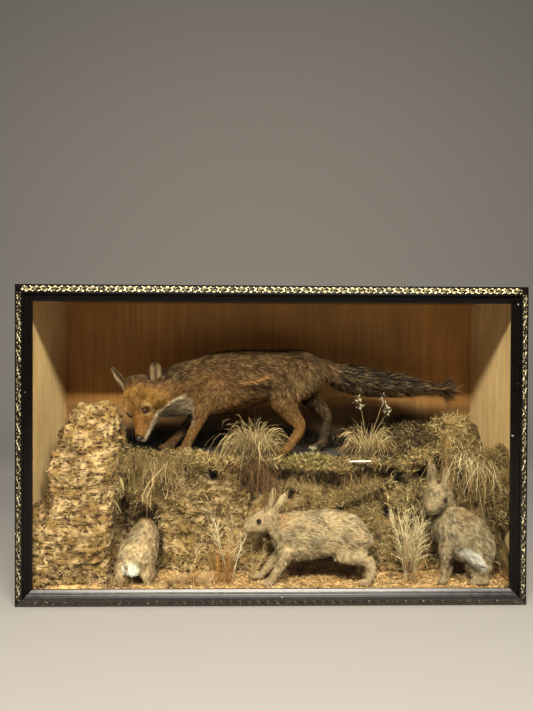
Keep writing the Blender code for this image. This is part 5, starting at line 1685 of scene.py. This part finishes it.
# the low tufts under the two tall tussocks are darker: partly painted shade among the feet
# of the blades
tussock("grass_centre_low", (-0.055, -0.025, 0.383), (0.062, 0.026), 260, 0.120,
        0.85, 0.90, HAY, DARK_DRY, 62)
tussock("grass_right", (0.290, -0.020, 0.383), (0.024, 0.016), 240, 0.210, 0.50,
        0.95, DRY, HAY, 63, arch=2.4)
tussock("grass_right_low", (0.290, -0.010, 0.383), (0.060, 0.026), 220, 0.095, 0.90,
        0.80, HAY, DARK_DRY, 60)
tussock("tuft_russet", (-0.140, -0.125, 0.036), (0.022, 0.014), 64, 0.165, 0.22,
        0.10, tint("#BE8844"), tint("#96602C"), 65, wide=0.0014, arch=2.0)
tussock("tuft_left", (-0.235, -0.130, 0.036), (0.060, 0.020), 180, 0.075, 0.65,
        0.50, DRY, RUST_DRY, 66, wide=0.0016)
tussock("tuft_corner", (-0.455, -0.150, 0.036), (0.050, 0.012), 150, 0.065, 0.65,
        0.60, DRY, RUST_DRY, 67, wide=0.0016)
STRAW_PALE = tint("#EEDDB2")
sprig("sprigs_right", (0.394, -0.120, 0.044), 20, 0.245, 0.30, 30, 64, STRAW_PALE,
      DRY, wide=0.0024)
sprig("sprigs_right_low", (0.400, -0.130, 0.044), 14, 0.130, 0.60, 14, 68, RUST_DRY,
      DRY)
sprig("twigs_left", (-0.118, -0.118, 0.060), 9, 0.225, 0.36, 20, 69,
      tint("#E8DAB4"), DRY, wide=0.0028, twig=0.20)
sprig("twig_rim", (0.121, -0.060, 0.383), 5, 0.045, 0.5, 10, 70, tint("#D2C88F"), HAY)
sprig("twig_by_nose", (-0.070, -0.135, 0.050), 9, 0.130, 0.80, 12, 79, HAY, DRY)

hanging("straw_left", (-0.440, -0.088, 0.400), (-0.200, -0.082, 0.388), 300, 0.080,
        71, HAY, DARK_DRY, curl=0.35, bunches=6)
hanging("straw_left_pale", (-0.440, -0.092, 0.396), (-0.300, -0.086, 0.372), 60,
        0.085, 76, DRY, HAY, curl=0.35, bunches=4)
hanging("straw_roots", (-0.075, -0.072, 0.378), (-0.015, -0.072, 0.372), 110, 0.125,
        73, ROOT_BROWN, tint("#785632"), wide=0.0019, curl=0.5, bunches=5)
hanging("straw_mound", (0.500, -0.070, 0.405), (0.660, -0.080, 0.385), 380, 0.100,
        74, HAY, DARK_DRY, curl=0.35, bunches=7)
hanging("straw_mound_pale", (0.530, -0.085, 0.400), (0.655, -0.090, 0.375), 80,
        0.090, 77, DRY, STRAW_PALE, wide=0.0017, curl=0.35, bunches=5)
hanging("straw_bank", (0.060, -0.080, 0.325), (0.300, -0.088, 0.330), 200, 0.055,
        75, HAY, DARK_DRY, curl=0.35, bunches=10)


def tangle(name, ground, count, size, weigh, seed, shades, wide=0.0017, lift=0.7,
           curl=0.55, fall=0.25, stations=4):
    """Short curly straw and moss that clings to groundwork."""
    rng = np.random.default_rng(seed)
    root, normal, _ = scatter(ground.data, count, weigh, rng)
    heading = unit(np.cross(normal, rng.normal(size=(count, 3)))
                   + normal * (lift * rng.random(count))[:, None])
    axis = unit(normal * rng.normal(size=(count, 1))
                + 0.6 * rng.normal(size=(count, 3)))
    step = (size * (0.35 + 0.9 * rng.random(count)) / (stations - 1))[:, None]
    turn = (curl * rng.normal(size=count))[:, None]
    droop = DOWN * (fall * rng.random(count))[:, None]
    places = [root + normal * 0.0010]
    for _ in range(stations - 1):
        places.append(places[-1] + heading * step)
        heading = unit(heading + np.cross(axis, heading) * turn + droop)
    path = np.stack(places, 1)
    off = ((path - root[:, None]) * normal[:, None]).sum(2)
    path += normal[:, None] * np.maximum(0.0012 - off, 0)[:, :, None]
    across = unit(np.cross(heading, rng.normal(size=(count, 3))))
    half = (wide / 2 * (0.55 + 0.8 * rng.random(count)))[:, None] \
        * np.linspace(1.0, 0.6, stations - 1)[None]
    tone = 1.3 * layered(root, 0.034, 2, seed) + 0.40 * rng.normal(size=count)
    colour = blend_in(plain(shades[0], count), shades[1], eased(tone, -0.6, 0.6))
    colour = blend_in(colour, shades[2], (rng.random(count) < 0.24) * 0.85)
    colour = blend_in(colour, shades[3], (rng.random(count) < 0.22) * 0.85)
    # painted shade: each strand darker towards its root, 0.6 to 1.15
    shade = colour[:, None] * np.linspace(0.6, 1.15, stations)[None, :, None]
    piece(name, ribbons(name, kept_in_case(path), half, across, shade), TURF,
          "rock_moss")


def inside_case(points):
    """Clear of the side walls and the glass."""
    return (np.abs(points[:, 0]) < INNER_X - 0.008) * (points[:, 1] > -0.174)


def bank_growth(points, facing):
    """Thick on the rim and the right half, thin where cork shows."""
    x, y, z = points.T
    front = y < 0.02
    rim = eased(z, 0.350, 0.380) * eased(-y, 0.030, 0.050)
    right = 0.55 * eased(x, -0.06, 0.06)
    left = 0.25 + 0.55 * eased(z, 0.300, 0.350)
    foot = 0.6 * eased(-z, -0.115, -0.070)
    face = front * np.maximum(np.maximum(right, foot), left * (x < 0.02))
    behind = 0.45 * eased(x, 0.31, 0.36) * (z > 0.38)
    clear = 1 - 0.9 * hollow_share(points)
    stage = (np.abs(z - LEDGE_Z) < 0.012) & (facing[:, 2] > 0.8) & (y > -0.055)
    return (1.3 * rim + face + behind) * clear * np.where(stage, 0.04, 1.0) \
        * (facing[:, 2] > -0.7) * inside_case(points) + 1e-6


def all_over(points, facing):
    """Everywhere but the underside and the hidden back."""
    return (facing[:, 2] > -0.5) * (points[:, 1] < 0.1) * inside_case(points) + 1e-6


def open_ground(points, facing):
    """The floor in front of the rock face."""
    return (facing[:, 2] > 0.2) * (points[:, 1] < 0.05) * inside_case(points) + 1e-6


def back_edge(points, facing):
    """The strip of ledge along the back wall, where near-black peat is put as painted
    shade.
    """
    x, y, z = points.T
    return eased(y, 0.110, 0.185) * (z > LEDGE_Z - 0.01) * (facing[:, 2] > 0.3) \
        * (1.6 - eased(x, -0.42, -0.20)) * (x < 0.34) + 1e-9


def dark_end(points, facing):
    """The heathery end of the ledge, beside the mound."""
    x, y, z = points.T
    return eased(x, 0.30, 0.36) * (1 - eased(x, 0.50, 0.56)) \
        * (z > LEDGE_Z - 0.02) * (y > -0.06) * inside_case(points) + 1e-9


def straw_mat(points, facing):
    """Where old straw is felted to the overhang."""
    x, y, z = points.T
    area = np.exp(-(((x + 0.375) / 0.075) ** 2) ** 2 - ((z - 0.325) / 0.050) ** 4)
    return area * (y < -0.02) * inside_case(points) + 1e-7


def root_mat(points, facing):
    """Fine brown roots that hang below the middle of the rim."""
    x, y, z = points.T
    area = np.exp(-((x + 0.045) / 0.036) ** 4 - ((z - 0.325) / 0.050) ** 4)
    return area * (y < -0.02) * inside_case(points) + 1e-7


def golden_rim(points, facing):
    """The yellowed moss on the rim, right of the middle."""
    x, y, z = points.T
    area = np.exp(-((x - 0.115) / 0.080) ** 4) * eased(z, 0.355, 0.372)
    return area * (y < -0.045) * inside_case(points) + 1e-7


def cork_face(points, facing):
    """The pillar's front, most of all near its foot."""
    return (points[:, 1] < 0.0) * inside_case(points) \
        * (0.25 + eased(-points[:, 2], -0.11, -0.06)) + 1e-6


# two shades in patches, then pale and dark single strands
MOSSY = (tint("#A88A50"), tint("#4C3F20"), tint("#E6CE98"), tint("#211709"))
DUSTY = (tint("#D0A66C"), tint("#966F42"), tint("#F0DAAE"), tint("#452D18"))
CORKY = (tint("#B0925E"), tint("#7A5E34"), tint("#DCC290"), tint("#2E2010"))
STRAWY = (tint("#B59A60"), tint("#6A5228"), tint("#E2CC98"), tint("#2A1C0C"))
ROOTY = (tint("#4A3018"), tint("#2E1C0D"), tint("#8A6A40"), tint("#170D06"))
GOLDEN = (tint("#A08C42"), tint("#6E622A"), tint("#D2C27C"), tint("#2C2410"))
PEAT_AND_SHADE = (tint("#1E150B"), tint("#120C06"), tint("#4A3719"), tint("#0A0603"))
HEATHER = (tint("#3E2F18"), tint("#241A0D"), tint("#93794A"), tint("#120C06"))
tangle("moss_bank", BANK, 18500, 0.022, bank_growth, 81, MOSSY)
tangle("moss_mound", MOUND, 7000, 0.024, all_over, 82, STRAWY)
tangle("moss_ground", GROUND, 13000, 0.017, open_ground, 83, DUSTY, lift=0.5, fall=0.1)
tangle("fibres_pillar", PILLAR, 1800, 0.012, cork_face, 84, CORKY, wide=0.0014)
tangle("straw_mat", BANK, 1500, 0.045, straw_mat, 85, STRAWY, curl=0.8, fall=0.4,
       stations=7)
tangle("straw_mat_pillar", PILLAR, 700, 0.040, straw_mat, 86, STRAWY, curl=0.8,
       fall=0.4, stations=7)
tangle("root_mat", BANK, 1100, 0.045, root_mat, 98, ROOTY, wide=0.0015, curl=0.9,
       fall=0.4, stations=7)
tangle("moss_golden", BANK, 1300, 0.016, golden_rim, 99, GOLDEN)
# near-black peat along the back of the ledge: painted shade where the fox throws its
# shadow
tangle("peat_back_shade", BANK, 4600, 0.062, back_edge, 87, PEAT_AND_SHADE, wide=0.0030, lift=3.0,
       curl=0.35, fall=0.0)
tangle("heather_end", BANK, 3600, 0.034, dark_end, 88, HEATHER, wide=0.0022, lift=1.5,
       curl=0.6, fall=0.1)


def chips(label, ground, count, low, high, weigh, seed, material, slot):
    """Loose crumbs of cork and grit, eight faces each."""
    name = "crumbs_" + label
    rng = np.random.default_rng(seed)
    root, normal, _ = scatter(ground.data, count, weigh, rng)
    size = low + (high - low) * rng.random(count) ** 2
    star = np.array([[1, 0, 0], [0, 1, 0], [-1, 0, 0], [0, -1, 0],
                     [0, 0, 1], [0, 0, -1]], float)
    shape = star[None] * (0.55 + 0.75 * rng.random((count, 6, 1)))
    spin = np.linalg.qr(rng.normal(size=(count, 3, 3)))[0]
    points = root[:, None] + normal[:, None] * (size * 0.15)[:, None, None] \
        + np.einsum("nij,nkj->nki", spin, shape) * size[:, None, None] / 2
    base = (np.arange(count) * 6)[:, None, None]
    hand = np.linalg.det(spin) < 0
    faces = np.array([[0, 1, 4], [1, 2, 4], [2, 3, 4], [3, 0, 4],
                      [1, 0, 5], [2, 1, 5], [3, 2, 5], [0, 3, 5]])
    tris = np.where(hand[:, None, None], faces[None, :, ::-1], faces[None]) + base
    colour = mixed_colours(count, rng, PALE_CORK, BROWN_CORK)
    colour = blend_in(colour, CHAR_AND_SHADE, (rng.random(count) < 0.25) * 0.85)
    mesh = mesh_from_arrays(name, kept_in_case(points).reshape(-1, 3),
                            np.empty((0, 4), int), tris.reshape(-1, 3),
                            np.repeat(colour, 6, axis=0), smooth=False)
    piece(name, mesh, material, slot)


# name, ground, how many, smallest and largest, where, seed, finish and slot
for crumb_row in (
        ("pillar", PILLAR, 1600, 0.003, 0.010, cork_face, 91, CORK, "cork_bark"),
        ("bank", BANK, 2600, 0.003, 0.010, bank_growth, 92, MOSS, "rock_moss"),
        ("mound", MOUND, 1000, 0.003, 0.009, all_over, 93, MOSS, "rock_moss"),
        ("ground", GROUND, 2200, 0.002, 0.007, open_ground, 94, MOSS, "rock_moss")):
    chips(*crumb_row)


def seed_heads():
    """Pale heads of dried flowers on thin stalks, a few dozen husks to each."""
    rng = np.random.default_rng(95)
    tops = np.array([(.268, -.030, .535), (.262, -.028, .552), (.342, -.030, .530),
                     (.336, -.026, .549), (.350, -.032, .517)])
    feet = np.array([.295, -.018, .385]) + rng.normal(size=(5, 3)) \
        * np.array([.010, .006, 0])
    run = tops - feet
    reach = np.linalg.norm(run, axis=1)
    blades("flower_stalks", feet, unit(run), reach, np.full(5, 0.0017),
           np.zeros(5), mixed_colours(5, rng, DRY, HAY), rng, 0.0, 2.0, 6)
    places = (tops[:, None] + rng.normal(size=(5, 26, 3))
              * np.array([.004, .004, .008])).reshape(-1, 3)
    count = len(places)
    aim = unit(rng.normal(size=(count, 3)) - 0.3 * DOWN)
    blades("seed_heads", places, aim, 0.007 + 0.004 * rng.random(count),
           np.full(count, 0.0028), np.zeros(count),
           mixed_colours(count, rng, tint("#E6DCC2"), tint("#B9A983")), rng, 0.02,
           2.0, 4)


seed_heads()


def plaster_chip():
    """A splinter of white plaster lying along the rim."""
    bm = bmesh.new()
    bmesh.ops.create_cube(bm, size=1.0)
    bmesh.ops.scale(bm, vec=(0.064, 0.008, 0.0035), verts=bm.verts)
    bmesh.ops.subdivide_edges(bm, edges=bm.edges, cuts=4, use_grid_fill=True)
    for vert in bm.verts:
        taper = 1 - 0.5 * abs(vert.co.x) / 0.036
        vert.co.y = vert.co.y * taper + 0.002 * math.sin(vert.co.x * 90)
        vert.co.z *= taper
    bmesh.ops.translate(bm, vec=(0.256, -0.094, 0.3790), verts=bm.verts)
    mesh = mesh_of("plaster_chip", bm, smooth=False)
    paint_mesh(mesh, plain(tint("#E9E2D4"), len(mesh.vertices)))
    piece("plaster_chip", mesh, TURF, "rock_moss")


plaster_chip()


# --------------------------------------------------------------- studio
def area_light(name, place, aim, wide, high, power, colour):
    """A rectangular lamp that faces its aim."""
    data = bpy.data.lights.new(name, "AREA")
    data.shape = "RECTANGLE"
    data.size = wide
    data.size_y = high
    data.energy = power
    data.color = colour
    obj = in_scene(name, data)
    obj.location = place
    obj.rotation_euler = (Vector(aim) - Vector(place)).to_track_quat(
        "-Z", "Y").to_euler()


def studio():
    """A pale floor that curves up into a backdrop, and two soft lights."""
    bm = bmesh.new()
    bmesh.ops.create_grid(bm, x_segments=2, y_segments=40, size=9)
    level_to, bend, below = 2.5, 1.6, 0.0005
    for vert in bm.verts:
        over = max(vert.co.y - level_to, 0.0)
        turn = min(over / bend, math.pi / 2)
        vert.co.z = bend * (1 - math.cos(turn)) + max(over - bend * turn, 0.0) - below
        vert.co.y = min(vert.co.y, level_to) + bend * math.sin(turn) * (over > 0)
    mesh = mesh_of("studio_floor", bm)
    floor = in_scene("studio_floor", mesh)
    material, tree = new_material("pale_studio_floor")
    finished(tree, base_color=opaque("#888683"), roughness=0.9, specular_ior_level=0.1)
    mesh.materials.append(material)
    world = bpy.data.worlds.new("studio")
    world.use_nodes = True
    back = world.node_tree.nodes["Background"]
    back.inputs[0].default_value = opaque("#DCDEE0")
    back.inputs[1].default_value = 0.13
    bpy.context.scene.world = world
    # a strip from above the front, so that the frame throws its shadow line
    area_light("key", (0.0, -2.75, 2.85), (0.0, -0.05, 0.40), 3.0, 0.40, 450,
               (1.0, 0.91, 0.77))
    area_light("ceiling", (0.0, -0.3, 3.2), (0, 0, 0.5), 2.4, 1.6, 30,
               (0.97, 0.98, 1.0))


def front_camera():
    """Faces the glass from 1.9 m, a little left of its middle."""
    yaw, pitch, roll = (math.radians(a) for a in (-1.19, -0.54, 0.24))
    ahead = Vector((-math.sin(yaw) * math.cos(pitch),
                    math.cos(yaw) * math.cos(pitch), math.sin(pitch)))
    right = Vector((math.cos(yaw), math.sin(yaw), 0))
    up = right.cross(ahead)
    right, up = (right * math.cos(roll) + up * math.sin(roll),
                 up * math.cos(roll) - right * math.sin(roll))
    place = Matrix((right, up, -ahead)).transposed().to_4x4()
    place.translation = (-0.0552, -1.91, 0.7015)
    data = bpy.data.cameras.new("camera")
    data.sensor_width = 36.0
    data.lens = 31.87
    camera = in_scene("camera", data)
    camera.matrix_world = place
    bpy.context.scene.camera = camera


studio()
front_camera()
bpy.context.scene.view_settings.view_transform = "Standard"
